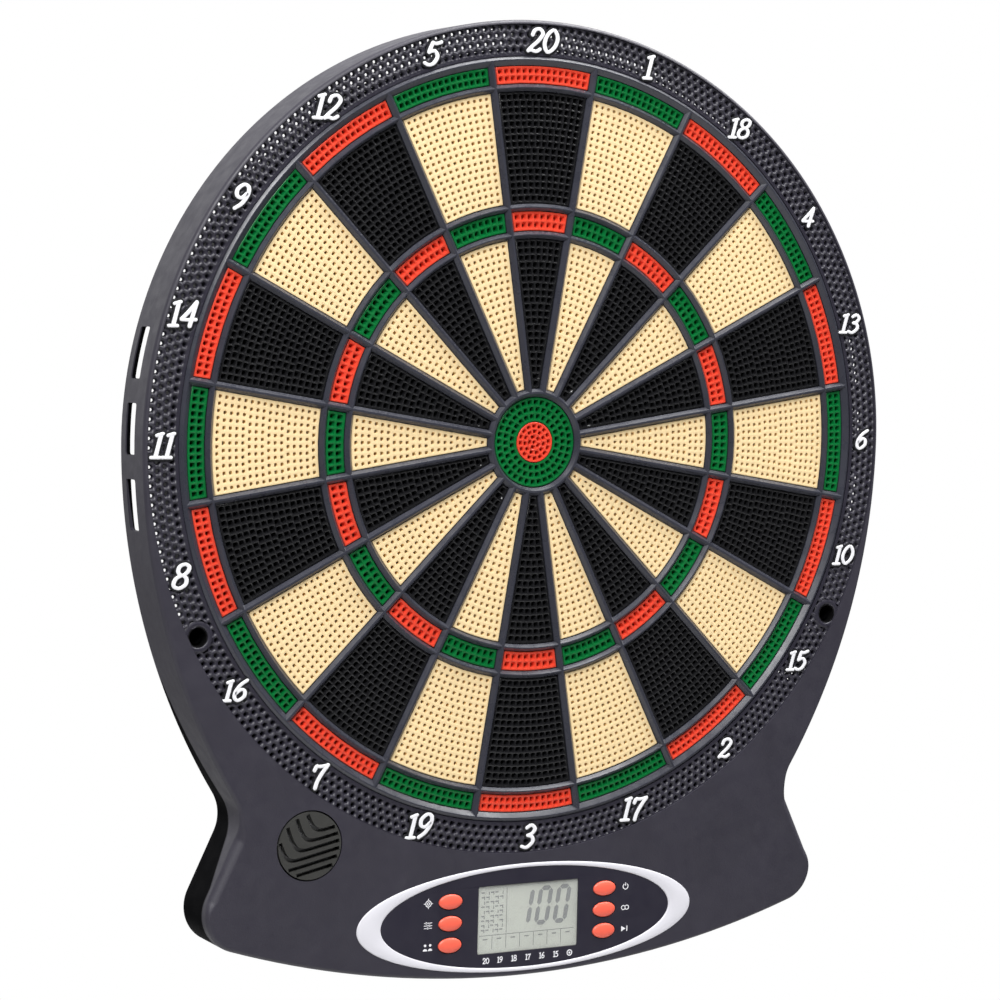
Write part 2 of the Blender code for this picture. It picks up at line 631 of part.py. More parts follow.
charcoal = material("housing_plastic", (0.045, 0.043, 0.055), 0.5)
spider_grey = material("spider_plastic", (0.05, 0.05, 0.062), 0.45)
black = material("segment_black", (0.012, 0.012, 0.013), 0.4)
cream = material("segment_cream", (0.86, 0.72, 0.46), 0.45)
red = material("segment_red", (0.68, 0.06, 0.03), 0.4)
green = material("segment_green", (0.01, 0.17, 0.05), 0.4)
grey_rubber = material("grey_rubber", (0.25, 0.25, 0.26), 0.8)
film = material("printed_film", (0.7, 0.72, 0.68), 0.4)
hardboard = material("hardboard", (0.25, 0.15, 0.08), 0.8)
panel_black = material("panel_plastic", (0.02, 0.02, 0.028), 0.35)
pale_trim = material("trim_plastic", (0.82, 0.82, 0.88), 0.4)
clear = material("clear_plastic", (0.9, 0.92, 0.92), 0.1)
key_red = material("key_rubber", (0.85, 0.09, 0.06), 0.45)
pcb_green = material("circuit_board", (0.02, 0.18, 0.08), 0.5)
lcd_glass = material("lcd_glass", (0.5, 0.53, 0.47), 0.3)
steel = material("steel", (0.6, 0.6, 0.6), 0.35, 1.0)
jacket = material("battery_jacket", (0.08, 0.08, 0.09), 0.4)
wire_black = material("wire_insulation", (0.02, 0.02, 0.02), 0.5)

front_housing(charcoal)
spider_grid(spider_grey)
segment_group((black, cream))
bulls(green, red)
sensing_layers(grey_rubber, film, hardboard)
membrane_tails(film)
rear_cover(charcoal)
control_panel(panel_black, pale_trim, clear)
keys(key_red)
electronics(pcb_green, grey_rubber, lcd_glass)
speaker(steel, wire_black)
batteries(jacket, steel, charcoal)
housing_screws(steel)
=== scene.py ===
"""The looks of an electronic dartboard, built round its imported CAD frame.

The board hangs upright: X runs to the right, Z up and -Y out of the face, and the origin is on the
wall plane straight behind the bull. Shapes are drawn in millimetres and stored in metres.
"""

import math

import bmesh
import bpy
from mathutils import Matrix, Vector


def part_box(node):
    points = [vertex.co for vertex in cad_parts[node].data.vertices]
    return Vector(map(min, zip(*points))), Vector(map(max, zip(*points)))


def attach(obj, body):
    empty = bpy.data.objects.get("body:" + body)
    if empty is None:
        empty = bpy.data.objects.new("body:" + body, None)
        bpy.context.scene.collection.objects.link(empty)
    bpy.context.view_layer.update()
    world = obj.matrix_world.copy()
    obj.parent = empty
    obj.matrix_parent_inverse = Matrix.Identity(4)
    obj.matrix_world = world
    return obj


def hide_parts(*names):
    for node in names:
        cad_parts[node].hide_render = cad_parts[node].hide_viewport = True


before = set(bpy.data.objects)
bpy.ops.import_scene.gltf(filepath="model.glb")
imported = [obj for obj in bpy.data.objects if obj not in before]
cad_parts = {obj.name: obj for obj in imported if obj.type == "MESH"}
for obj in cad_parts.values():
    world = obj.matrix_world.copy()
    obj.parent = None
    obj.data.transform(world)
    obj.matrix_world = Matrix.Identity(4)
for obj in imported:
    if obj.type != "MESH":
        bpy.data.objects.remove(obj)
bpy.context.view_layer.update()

MM = 0.001
HOUSING = "housing"  # the body that everything fixed rides on
CUT_CREASE = 30  # on cut shapes, edges sharper than this many degrees stay sharp
CROWN = 0.12  # how far a raised stroke's edge is rounded off

# Camera: where it stands round the bull, and how it is turned and shifted.
CAMERA_AZIMUTH, CAMERA_ELEVATION, CAMERA_ROLL = -28.53, 3.88, 1.31
CAMERA_DISTANCE, CAMERA_RIGHT, CAMERA_UP = 1301.6, -16.8, -26.4
LENS = 102.1
SENSOR_WIDTH = 36.0
ROOM_LIGHT = (0.05, 1.0)  # in front of the board and behind it
# Soft lights, in metres and watts: place, size and power.
KEY_LIGHT = ((-1.3, -1.7, 1.95), (1.4, 1.4), 104.0)
OVERHEAD_LIGHT = ((0.8, -0.15, 1.42), (1.2, 1.3), 62.0)
BULL_HEIGHT, FLOOR_R = 1730.0, 4000.0

# Housing outline: a round head, a flatter neck, a waist, two feet and a shallow curved bottom edge.
HEAD_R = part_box("front_housing")[1].z / MM
BOTTOM_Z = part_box("front_housing")[0].z / MM
NECK_R, NECK_ANGLE = 304.0, -1.2
WAIST_Z, WAIST_R = -167.0, 18.3
FOOT_X, FOOT_Z, FOOT_R = 142.2, -207.8, 17.3
ROUND_EDGE, FOOT_BEVEL = (1.8, 2.2), (7.5, 6.5)  # the front edge's inset and depth
EDGE_STEPS = 6
FLATNESS = 0.8  # how plain the broad bevel is: 0 is a quarter round, 1 a flat facet
WALL, FACE_WALL = 2.2, 3.2
Y_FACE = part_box("front_housing")[0].y / MM
Y_CAVITY = Y_FACE + FACE_WALL
BEVEL_CLEAR = -15.0  # in front of this depth, the cavity is narrower to clear the bevel
SLOT_Z = (38.5, 5.5, -27.5)
SLOT_LENGTH, SLOT_WIDTH, SLOT_Y, SLOT_CORNER = 22.5, 10.5, -10.6, 1.2
SLOT_CUT = (-12.0, 12.0)  # how far a slot's cutter goes to either side of the side wall's face
# Painted shade at the rear of the side walls, at the neck and at the feet: a black band without sheen that
# stands
# for the shade there, in metres: its breadth at the lower and the upper end, and the heights of these.
PAINTED_SHADE_BAND = ((0.0134, 0.0, -0.168, -0.096), (0.0085, 0.0, -0.196, -0.168))
# Webs that close the lower ends of the gutter behind the catch ring.
WEB_Y, WEB_Z, WEB_R, WEB_ANGLES = (-5.2, -3.8), (-117.5, -95.0), 179.4, (-31.0, -39.0)
OVERCUT = 3.0  # how far a cutter reaches past the surface that it opens
FRONT_CUT = (Y_FACE - OVERCUT, Y_CAVITY + 1.0)  # depths of a cutter that goes through the face
BEHIND = 5.0  # a depth behind the wall plane

# Scoring face.
NUMBERS = (20, 1, 18, 4, 13, 6, 10, 15, 2, 17, 3, 19, 7, 16, 8, 11, 14, 9, 12, 5)
SECTOR = 360.0 / len(NUMBERS)
SPOKE_HALF = 1.8
GAP, EDGE_BAND = 0.3, 0.62  # round a plate, and from its edge to the first holes
PLATE_THICK, PLATE_CREASE = 7.0, 38
WINDOWS = {  # radii of each window, and its rows of tip holes
    "inner_single": (24.6, 93.4, 21),
    "treble": (96.6, 105.9, 2),
    "outer_single": (109.1, 160.0, 16),
    "double": (163.2, 171.6, 2),
}
WINDOW_STEPS = (8, 4)  # sides that stand for a window's outer and inner arc
HUB_R = 21.0
RIDGE = 1.42  # from a window's edge to the ridge of a rib
RIM_RIDGE = 173.9
FLANGE_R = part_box("spider_grid")[1].x / MM
SPIDER_R = FLANGE_R - 3.4  # the rim that shows inside the catch ring
INNER_BULL_R, BULL_GAP, BULL_CORE, BULL_BAND, BULL_THICK = 9.25, 0.35, 1.2, 0.6, 8.5
OUTER_BULL_HOLES, INNER_BULL_HOLES, RING_TURN = (24, 30, 36), (5, 11, 16), 7.0
Y_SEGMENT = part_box("inner_bull")[0].y / MM
HOLE_PITCH = 3.2
TUBE_DEPTH = 6.6
# Countersunk tip holes: width of the rib between them, hole radius, and depths of edge and throat.
FLAT_HOLES = (1.5, 0.86, 0.1, 0.7)
GRID_HOLES = (0.7, 0.78, 0.14, 1.7)
DEEP_HOLES = (0.5, 0.8, 0.16, 1.9)
# Moulded edges, as pairs of inset (or radius, for the rim) and depth below the face.
PLATE_EDGE = ((0.72, 0.02), (0.34, 0.0), (0.14, 0.05), (0.03, 0.18), (0.0, 0.4))
BORE_EDGE = ((0.72, 0.02), (0.34, 0.0), (0.1, 0.06), (0.0, 0.3), (0.0, 6.0))
RIB_PROFILE = ((-RIDGE, 0.0), (0.12 - RIDGE, 0.05), (-0.04, 1.62), (0.0, 1.75), (0.0, 8.6))
RIM_PROFILE = (
    (FLANGE_R, 5.4), (FLANGE_R, 3.5), (SPIDER_R, 3.4), (SPIDER_R, 1.1), (SPIDER_R - 0.1, 0.95),
    (RIM_RIDGE + 0.5, 0.06), (RIM_RIDGE + 0.3, 0.0),
)

# Catch ring round the target, with its numbers.
RING_IN, RING_OUT = SPIDER_R + 0.4, 190.2
RING_ROWS = (178.5, 181.9, 185.3, 188.7)
RING_HOLES = 288
RING_CORNERS = [(2 / 3, 0.0), (1 / 3, 0.5), (-1 / 3, 0.5), (-2 / 3, 0.0), (-1 / 3, -0.5), (1 / 3, -0.5)]
Y_RING = Y_FACE + 0.8
RING_FUNNEL = ((1.62, Y_RING + 0.22), (0.85, Y_RING + 1.6), (0.76, Y_CAVITY))  # a hole's radii and depths
RING_EDGE = 0.06  # how far the plain bands at the ring's edges stand back
NUMBER_R, NUMBER_TURN = 182.8, 0.3
# Height, breadth, and the nib's two half widths, for most numbers and for the smaller ones.
LARGE_DIGITS = (11.8, 1.09, (0.96, 0.74))
SMALL_DIGITS = (9.9, 1.16, (0.88, 0.68))
SMALL_NUMBERS = (18, 4, 13, 6, 10, 15, 2, 16)
PAD_MARGIN = 0.9
NUMBER_DEPTHS = (Y_RING - 0.75, Y_RING - 0.3)
PAD_DEPTHS = (Y_RING - 0.36, Y_RING + 1.2)
WALL_SCREW_R, WALL_SCREW_ANGLE = 185.5, -27.0
SCREW_TUBE_R, SCREW_HEAD_R, SCREW_HOLE_R, SCREW_SEAT = 6.2, 4.5, 3.0, -4.0
SCREW_CLEAR = 6.3  # no ring hole starts nearer to a wall screw's middle
COLLAR = ((7.2, 0.5), (6.4, -0.03), (5.1, 0.0), (4.6, 0.4), (4.55, 2.4))  # radii and depths
# Radii of the near-black sleeve in each wall-screw hole, which paints the shade inside the hole.
SHADE_LINER_R = (4.54, 4.1)

# Control panel.
PANEL_X, PANEL_Z = PANEL_AT = (1.6, -220.4)
TRIM, PANEL, TRIM_GAP, PANEL_GAP = (88.4, 25.2), (76.2, 23.2), 0.12, 0.15
TRIM_DEPTH = 1.0
TRIM_EDGE = ((0.0, TRIM_DEPTH), (0.0, 0.1), (0.25, -0.18), (0.6, -0.28))  # insets and depths
DISPLAY_W, DISPLAY_H = 53.0, 31.6
KEY_X, KEY_STEP = 40.8, 10.1
KEY_HALF, KEY_GAP, KEY_DOME, KEY_STEPS = (6.0, 3.5), 0.35, 1.3, 8
KEY_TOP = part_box("key_upper_left")[0].y / MM
SIGN_REACH = 11.5  # from a key's middle to its sign's
SCALE_X, SCALE_STEP, SCALE_DOWN, SCALE_HEIGHT, SCALE_NIB = -21.9, 7.4, 19.0, 2.9, (0.27, 0.23)
# The display's reading: its first digit's place, and each digit's size, bars and slant.
READING_X, READING_STEP, READING_DOWN = -6.3, 9.8, 2.2
READING_W, READING_H, READING_BAR, READING_LEAN = 7.6, 18.3, 2.2, 0.16
FIELD_STEP, FIELD_LINE = 7.3, 0.32

# Speaker grille: its place, and the curved slots that run across it.
GRILLE, GRILLE_R, GRILLE_GAP, GRILLE_MARGIN, GRILLE_PROUD = (-110.7, -179.3), 16.0, 0.7, 1.3, 0.25
GRILLE_SLOTS, GRILLE_SLOT, GRILLE_START, GRILLE_PITCH = 6, 1.9, (0.5, 5.2), (4.3, 3.4)
GRILLE_BEND, GRILLE_SLOPE, GRILLE_STEEP = 7.0, 0.22, 4.0

# Back of the board.
GROOVES, GROOVE_WIDTH, GROOVE_DEPTH = (60.0, 100.0, 140.0), 2.0, 0.6
LABEL_SIZE, LABEL_Z = (70.0, 26.0), -158.0
GRIP_SIZE, GRIP_DOWN, GRIP_DEPTH = (18.0, 8.6), 9.0, 0.7
RIDGE_SIZE, RIDGE_STEP = (14.0, 0.9), 2.4


# ---------------------------------------------------------------- outlines, as lists of (x, z)

def polar(radius, degrees, centre=(0.0, 0.0)):
    angle = math.radians(degrees)
    return (centre[0] + radius * math.cos(angle), centre[1] + radius * math.sin(angle))


def sweep(centre, radius, start, end, count):
    return [polar(radius, start + (end - start) * i / count, centre) for i in range(count + 1)]


def arc(centre, radius, start, end, step=2.0):
    return sweep(centre, radius, start, end, max(1, math.ceil(abs(end - start) / step)))


def circle(radius, centre=(0.0, 0.0), steps=48):
    return [polar(radius, 360.0 * i / steps, centre) for i in range(steps)]


def ellipse(halves, centre, grow=0.0, steps=128):
    """An ellipse with two half axes, made larger all round by grow."""
    half_x, half_z = (half + grow for half in halves)
    turns = [2 * math.pi * i / steps for i in range(steps)]
    return [(centre[0] + half_x * math.cos(t), centre[1] + half_z * math.sin(t)) for t in turns]


def rectangle(width, height, centre=(0.0, 0.0), corner=1.0, step=15.0):
    points = []
    for i, (sx, sz) in enumerate(((1, 1), (-1, 1), (-1, -1), (1, -1))):
        middle = (centre[0] + sx * (width / 2 - corner), centre[1] + sz * (height / 2 - corner))
        points += arc(middle, corner, 90.0 * i, 90.0 * (i + 1), step)
    return points


def tangent_normal(convex, concave, reach):
    """Angle of the normal of the straight line that touches a convex and a concave circle above it."""
    dx, dz = concave[0] - convex[0], concave[1] - convex[1]
    return math.degrees(math.atan2(dz, dx) - math.acos(reach / math.hypot(dx, dz)))


def outline_run():
    """The housing's right half from the top down: each point of its outline and the way out from there."""
    neck = polar(HEAD_R - NECK_R, NECK_ANGLE)
    drop = neck[1] - WAIST_Z
    waist = (neck[0] + math.sqrt((NECK_R + WAIST_R) ** 2 - drop**2), WAIST_Z)
    shoulder = -math.degrees(math.asin(drop / (NECK_R + WAIST_R)))
    foot = (FOOT_X, FOOT_Z)
    down = -BOTTOM_Z - FOOT_R
    centre_z = (FOOT_X**2 + FOOT_Z**2 - down**2) / (2 * (down + FOOT_Z))
    flare = tangent_normal(foot, waist, FOOT_R + WAIST_R)
    toe = math.degrees(math.atan2(FOOT_Z - centre_z, FOOT_X))
    arcs = (
        ((0.0, 0.0), HEAD_R, 90.0, NECK_ANGLE, 1.5, 1),
        (neck, NECK_R, NECK_ANGLE, shoulder, 1.0, 1),
        (waist, WAIST_R, shoulder + 180, flare + 180, 5.0, -1),
        (foot, FOOT_R, flare, toe, 5.0, 1),
        ((0.0, centre_z), centre_z - BOTTOM_Z, toe, -90.0, 1.0, 1),
    )
    run = []
    for centre, radius, first, last, step, outward in arcs:
        for place in arc(centre, radius, first, last, step):
            way = (Vector(place) - Vector(centre)) * outward / radius
            if not run or (Vector(place) - run[-1][0]).length > 0.05:
                run.append((Vector(place), way))
    return run


def smoothstep(value, low, high):
    share = min(1.0, max(0.0, (value - low) / (high - low)))
    return share * share * (3 - 2 * share)


def bevel_share(z):
    """How much of the broad bevel above the feet the front edge has, from 0 to 1."""
    return smoothstep(-z, 164.0, 186.0) * (1.0 - smoothstep(-z, 188.0, 210.0))


def edge_size(z):
    """Inset and depth of the front edge: small all round, but for the bevel above the feet."""
    return [small + (broad - small) * bevel_share(z) for small, broad in zip(ROUND_EDGE, FOOT_BEVEL)]


def outline_moved(inset_at):
    """The housing's outline moved inwards by a function of place. Clockwise, as the face is seen."""
    half = []
    for place, way in outline_run():
        half.append(tuple(place - way * inset_at(place.x, place.y)))
    return list(reversed(half + [(-x, z) for x, z in reversed(half) if abs(x) > 0.01]))


def body_outline(inset=0.0, low_inset=None):
    """The housing's outline moved inwards: by inset at the head and by low_inset at the lower body."""
    low = inset if low_inset is None else low_inset
    return outline_moved(lambda x, z: inset + (low - inset) * smoothstep(-z, 60.0, 115.0))


def half_angle(radius, edge):
    """Half the angle of a window at a radius, when its sides are edge away from the spokes' middles."""
    return SECTOR / 2 - math.degrees(math.asin(edge / radius))


def window_outline(r_in, r_out, edge):
    """A scoring window centred on the upward direction, anticlockwise, always with as many points."""
    outer, inner = half_angle(r_out, edge), half_angle(r_in, edge)
    points = sweep((0.0, 0.0), r_out, 90 - outer, 90 + outer, WINDOW_STEPS[0])
    return points + sweep((0.0, 0.0), r_in, 90 + inner, 90 - inner, WINDOW_STEPS[1])


def turned(points, degrees):
    """The points turned clockwise about the bull, as the face is seen."""
    c, s = math.cos(math.radians(degrees)), math.sin(math.radians(degrees))
    return [(x * c + z * s, z * c - x * s) for x, z in points]


def moved(points, x, z):
    return [(px + x, pz + z) for px, pz in points]


# ---------------------------------------------------------------- meshes

class Shape:
    """Points and faces of one mesh. Loops run anticlockwise as the face is seen from the front."""

    def __init__(self):
        self.points = []
        self.faces = []

    def loop(self, outline, y):
        """Adds an outline's points at a depth, or at a depth for each point, and returns their numbers."""
        depths = y if isinstance(y, list) else [y] * len(outline)
        first = len(self.points)
        self.points += [(x, depth, z) for (x, z), depth in zip(outline, depths)]
        return list(range(first, len(self.points)))

    def chain(self, loops):
        """Bands from each loop to the next. They face forward, or into a hole that the loops go down."""
        for outer, inner in zip(loops, loops[1:]):
            for i in range(len(outer)):
                j = (i + 1) % len(outer)
                self.faces.append((outer[i], outer[j], inner[j], inner[i]))

    def revolve(self, profile, y, steps, centre=(0.0, 0.0)):
        """Adds a band round a centre. The profile holds radii, and depths behind y."""
        self.chain([self.loop(circle(radius, centre, steps), y + drop) for radius, drop in profile])

    def cap(self, loop):
        self.faces.append(tuple(loop))

    def cap_back(self, loop):
        self.faces.append(tuple(reversed(loop)))

    def mesh(self):
        mesh = bpy.data.meshes.new("shape")
        mesh.from_pydata([Vector(p) * MM for p in self.points], [], self.faces)
        return mesh


def placed(name, data):
    """A new object in the scene."""
    obj = bpy.data.objects.new(name, data)
    bpy.context.scene.collection.objects.link(obj)
    return obj


def evaluated_mesh(obj):
    """A mesh of the object as its modifiers or its curve make it."""
    bpy.context.view_layer.update()
    return bpy.data.meshes.new_from_object(obj.evaluated_get(bpy.context.evaluated_depsgraph_get()))


def piece(name, mesh, paint, body, slot, stands_for=(), turn=0.0, crease=50):
    """Puts a mesh into the scene as a piece that moves with a CAD body.

    Edges sharper than crease degrees stay sharp. With a crease of 0, all faces are flat.
    """
    obj = placed(name, mesh)
    if crease:
        mesh.shade_smooth()
        mesh.set_sharp_from_angle(angle=math.radians(crease))
    if not mesh.materials:
        mesh.materials.append(paint)
    obj.material_slots[0].link = "OBJECT"
    obj.material_slots[0].material = paint
    obj.rotation_euler = (0.0, math.radians(turn), 0.0)
    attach(obj, body)
    if stands_for:
        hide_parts(*stands_for)
    return obj


def flat(outlines):
    """A flat filled mesh in the wall plane, facing forward. Outlines inside others are holes."""
    curve = bpy.data.curves.new("flat", "CURVE")
    curve.dimensions = "2D"
    curve.fill_mode = "BOTH"
    for outline in outlines:
        spline = curve.splines.new("POLY")
        spline.points.add(len(outline) - 1)
        for point, (x, z) in zip(spline.points, outline):
            point.co = (x * MM, z * MM, 0.0, 1.0)
        spline.use_cyclic_u = True
    drawn = placed("flat", curve)
    mesh = evaluated_mesh(drawn)
    bpy.data.objects.remove(drawn)
    mesh.transform(Matrix.Rotation(math.pi / 2, 4, "X"))
    if mesh.polygons and mesh.polygons[0].normal.y > 0:
        mesh.flip_normals()
    return mesh


def prism(outlines, front, back):
    """A closed solid cut from flat outlines, between two depths."""
    mesh = flat(outlines)
    shape = bmesh.new()
    shape.from_mesh(mesh)
    bmesh.ops.remove_doubles(shape, verts=shape.verts, dist=1e-7)
    bmesh.ops.translate(shape, verts=shape.verts, vec=(0, front * MM, 0))
    sheet = list(shape.faces)
    made = bmesh.ops.extrude_face_region(shape, geom=sheet, use_keep_orig=True)
    far = [v for v in made["geom"] if isinstance(v, bmesh.types.BMVert)]
    bmesh.ops.translate(shape, verts=far, vec=(0, (back - front) * MM, 0))
    bmesh.ops.recalc_face_normals(shape, faces=shape.faces)
    shape.to_mesh(mesh)
    shape.free()
    return mesh


def joined(meshes, weld=0.0):
    """One mesh made of several. Points no further apart than weld become one."""
    shape = bmesh.new()
    for mesh in meshes:
        shape.from_mesh(mesh)
    if weld:
        bmesh.ops.remove_doubles(shape, verts=shape.verts, dist=weld)
    mesh = bpy.data.meshes.new("joined")
    shape.to_mesh(mesh)
    shape.free()
    return mesh


def carved(body, cutters=(), additions=()):
    """A closed mesh with others added to it and cut out of it."""
    obj = placed("carved", body)
    helpers = []
    for operation, meshes in (("UNION", additions), ("DIFFERENCE", cutters)):
        if not meshes:
            continue
        tool = placed("tool", joined(meshes))
        modifier = obj.modifiers.new(operation, "BOOLEAN")
        modifier.operation = operation
        modifier.solver = "EXACT"
        modifier.object = tool
        helpers.append(tool)
    mesh = evaluated_mesh(obj)
    for used in helpers + [obj]:
        bpy.data.objects.remove(used)
    return mesh


def soften(obj, width):
    """Rounds an object's sharp edges and keeps its large faces flat beside them."""
    edge = obj.modifiers.new("edges", "BEVEL")
    edge.width = width * MM
    edge.segments = 2
    edge.limit_method = "ANGLE"
    edge.angle_limit = math.radians(50)
    keep_flat(obj)


def keep_flat(obj):
    """Keeps large faces flat where they meet rounded edges."""
    modifier = obj.modifiers.new("normals", "WEIGHTED_NORMAL")
    modifier.keep_sharp = True
    modifier.weight = 80


# ---------------------------------------------------------------- materials

def node(tree, kind, **values):
    """A new shader node. Each value is a setting, or what an input holds or is joined to."""
    made = tree.nodes.new(kind)
    for key, value in values.items():
        socket = key.replace("_", " ")
        if socket not in made.inputs:
            setattr(made, key, value)
        elif isinstance(value, bpy.types.NodeSocket):
            tree.links.new(value, made.inputs[socket])
        else:
            made.inputs[socket].default_value = value
    return made


def pattern(tree, scale, detail=3.0):
    """Noise that is fixed to the object."""
    place = tree.nodes.get("place") or node(tree, "ShaderNodeTexCoord", name="place")
    vector = place.outputs["Object"]
    noise = node(tree, "ShaderNodeTexNoise", Vector=vector, Scale=scale, Detail=detail, Roughness=0.55)
    return noise.outputs["Fac"]


def ramp(tree, value, low, high, start=0.3, end=0.7):
    """A value that goes from low to high while another goes from start to end."""
    span = {"From_Min": start, "From_Max": end, "To_Min": low, "To_Max": high}
    return node(tree, "ShaderNodeMapRange", Value=value, **span).outputs["Result"]


def blend(tree, factor, first, second):
    return node(tree, "ShaderNodeMix", data_type="RGBA", Factor=factor, A=first, B=second).outputs["Result"]


def plastic(name, colour, roughness, grain=900.0, bump=0.12, mottle=0.08, scuff=0.07, metallic=0.0):
    """Moulded plastic: faint mottling, a fine moulded grain and an uneven sheen."""
    made = bpy.data.materials.new(name)
    made.use_nodes = True
    tree = made.node_tree
    shader = tree.nodes["Principled BSDF"]
    shader.inputs["Metallic"].default_value = metallic
    dark = (*(c * (1 - mottle) for c in colour), 1.0)
    light = (*(min(1.0, c * (1 + mottle)) for c in colour), 1.0)
    clouds = ramp(tree, pattern(tree, 35.0), 0.0, 1.0)
    sheen = ramp(tree, pattern(tree, 160.0), roughness - scuff, roughness + scuff)
    relief = node(tree, "ShaderNodeBump", Strength=bump, Distance=0.0002, Height=pattern(tree, grain, 2.0))
    tree.links.new(blend(tree, clouds, dark, light), shader.inputs["Base Color"])
    tree.links.new(sheen, shader.inputs["Roughness"])
    tree.links.new(relief.outputs["Normal"], shader.inputs["Normal"])
    return made


def srgb(red, green, blue):
    def linear(value):
        value /= 255.0
        return value / 12.92 if value <= 0.04045 else ((value + 0.055) / 1.055) ** 2.4

    return (linear(red), linear(green), linear(blue))


CHARCOAL = plastic("housing_plastic", srgb(44, 42, 53), 0.42, grain=1400, bump=0.2)
SPIDER = plastic("spider_plastic", srgb(54, 55, 64), 0.3, grain=1100, bump=0.08)
BLACK = plastic("segment_black", srgb(25, 25, 27), 0.24, bump=0.08)
CREAM = plastic("segment_cream", srgb(244, 217, 167), 0.5, mottle=0.03, bump=0.1)
RED = plastic("segment_red", srgb(230, 72, 50), 0.32, mottle=0.04, bump=0.1)
GREEN = plastic("segment_green", srgb(4, 104, 48), 0.3, mottle=0.05, bump=0.1)
WHITE = plastic("white_print", srgb(240, 240, 244), 0.45, mottle=0.02, bump=0.06)
TRIM_WHITE = plastic("trim_plastic", srgb(226, 225, 232), 0.5, mottle=0.015, bump=0.05)
PAD = plastic("number_pad", srgb(24, 24, 28), 0.5, bump=0.1)
# Near-black plastic for the sleeves that paint the shade inside the wall-screw holes.
SHADE_LINER = plastic("painted_shade_liner", srgb(8, 8, 9), 0.4, bump=0.1)
INSERT = plastic("panel_plastic", srgb(42, 40, 52), 0.38, mottle=0.05, bump=0.08)
KEY_RED = plastic("key_plastic", srgb(255, 106, 84), 0.4, mottle=0.03, bump=0.06)
GRILLE_PAINT = plastic("grille_plastic", srgb(56, 56, 54), 0.5, mottle=0.06, bump=0.12)
BACK = plastic("cover_plastic", srgb(30, 30, 34), 0.6, grain=1400, bump=0.3)
LCD = plastic("lcd_glass", srgb(190, 193, 180), 0.3, grain=300, mottle=0.03, bump=0.02)
LCD_INK = plastic("lcd_segments", srgb(98, 100, 98), 0.35, mottle=0.04, bump=0.02)
RUBBER = plastic("grey_rubber", srgb(70, 70, 74), 0.8, grain=700, bump=0.3)
FILM = plastic("printed_film", srgb(214, 216, 208), 0.35, mottle=0.03, bump=0.05)
STEEL = plastic("plated_steel", srgb(190, 190, 192), 0.3, grain=500, metallic=1.0)
JACKET = plastic("battery_jacket", srgb(44, 44, 50), 0.35)
WIRE = plastic("wire_insulation", srgb(22, 22, 24), 0.5)
BOARD = plastic("hardboard", srgb(118, 84, 54), 0.8, grain=250, bump=0.4, mottle=0.2)
PCB = plastic("circuit_board", srgb(24, 100, 60), 0.4, grain=200, mottle=0.1)
FLOOR = plastic("floor_paint", (0.85, 0.85, 0.85), 0.9, grain=30, bump=0.0, mottle=0.01, scuff=0.02)


def shell_paint():
    """The housing's plastic, with painted shade: black without sheen at the rear of the lower body's side
    walls and inside the rim.
    """
    made = plastic("shell_plastic_painted_shade", srgb(52, 50, 60), 0.5, grain=1400, bump=0.25)
    tree = made.node_tree
    shader = tree.nodes["Principled BSDF"]
    place = node(tree, "ShaderNodeSeparateXYZ", Vector=tree.nodes["place"].outputs["Object"])
    x, y, z = (place.outputs[axis] for axis in "XYZ")
    # Painted shade: a black band, fading in with depth, at the rear of the side walls of the neck and the
    # feet.
    neck, foot = (ramp(tree, z, *part) for part in PAINTED_SHADE_BAND)
    depth = arithmetic(tree, "ADD", arithmetic(tree, "ADD", neck, foot), y)
    # Painted shade: the inside of the head, behind the front of the cavity, goes black as well.
    square = arithmetic(tree, "ADD", *(arithmetic(tree, "MULTIPLY", side, side) for side in (x, z)))
    reach = ((HEAD_R - 0.5) * MM) ** 2
    within = ramp(tree, square, 1.0, 0.0, 0.998 * reach, reach)
    behind = ramp(tree, y, 0.0, 1.0, (Y_CAVITY + 0.3) * MM, (Y_CAVITY + 0.6) * MM)
    shaded_inside = arithmetic(tree, "MULTIPLY", within, behind)
    black = arithmetic(tree, "MAXIMUM", ramp(tree, depth, 0.0, 1.0, 0.0, 0.0012), shaded_inside)
    # Where the shade is painted, the base colour goes to near black and the reflection to almost none.
    plain = shader.inputs["Base Color"].links[0].from_socket
    tree.links.new(blend(tree, black, plain, (*srgb(8, 8, 10), 1.0)), shader.inputs["Base Color"])
    tree.links.new(ramp(tree, black, 0.5, 0.01, 0.0, 1.0), shader.inputs["Specular IOR Level"])
    return made


def arithmetic(tree, operation, first, second):
    made = node(tree, "ShaderNodeMath", operation=operation)
    tree.links.new(first, made.inputs[0])
    tree.links.new(second, made.inputs[1])
    return made.outputs["Value"]


def clear_lens():
    made = plastic("clear_lens", srgb(235, 238, 240), 0.12, bump=0.02, scuff=0.04)
    made.node_tree.nodes["Principled BSDF"].inputs["Alpha"].default_value = 0.14
    return made


# ---------------------------------------------------------------- perforated plates

SQUARE = [(1, 0), (1, 1), (0, 1), (-1, 1), (-1, 0), (-1, -1), (0, -1), (1, -1)]
SOFT_SQUARE = [(0.84 * out, 0.84 * side) if out and side else (out, side) for out, side in SQUARE]


def scaled(points, by_x, by_z):
    return [(x * by_x, z * by_z) for x, z in points]


def around(radius, degrees, offsets):
    """Points at offsets, outwards and sideways, from a place given by its radius and angle."""
    x, z = polar(radius, degrees)
    c, s = polar(1.0, degrees)
    return [(x + out * c - side * s, z + out * s + side * c) for out, side in offsets]


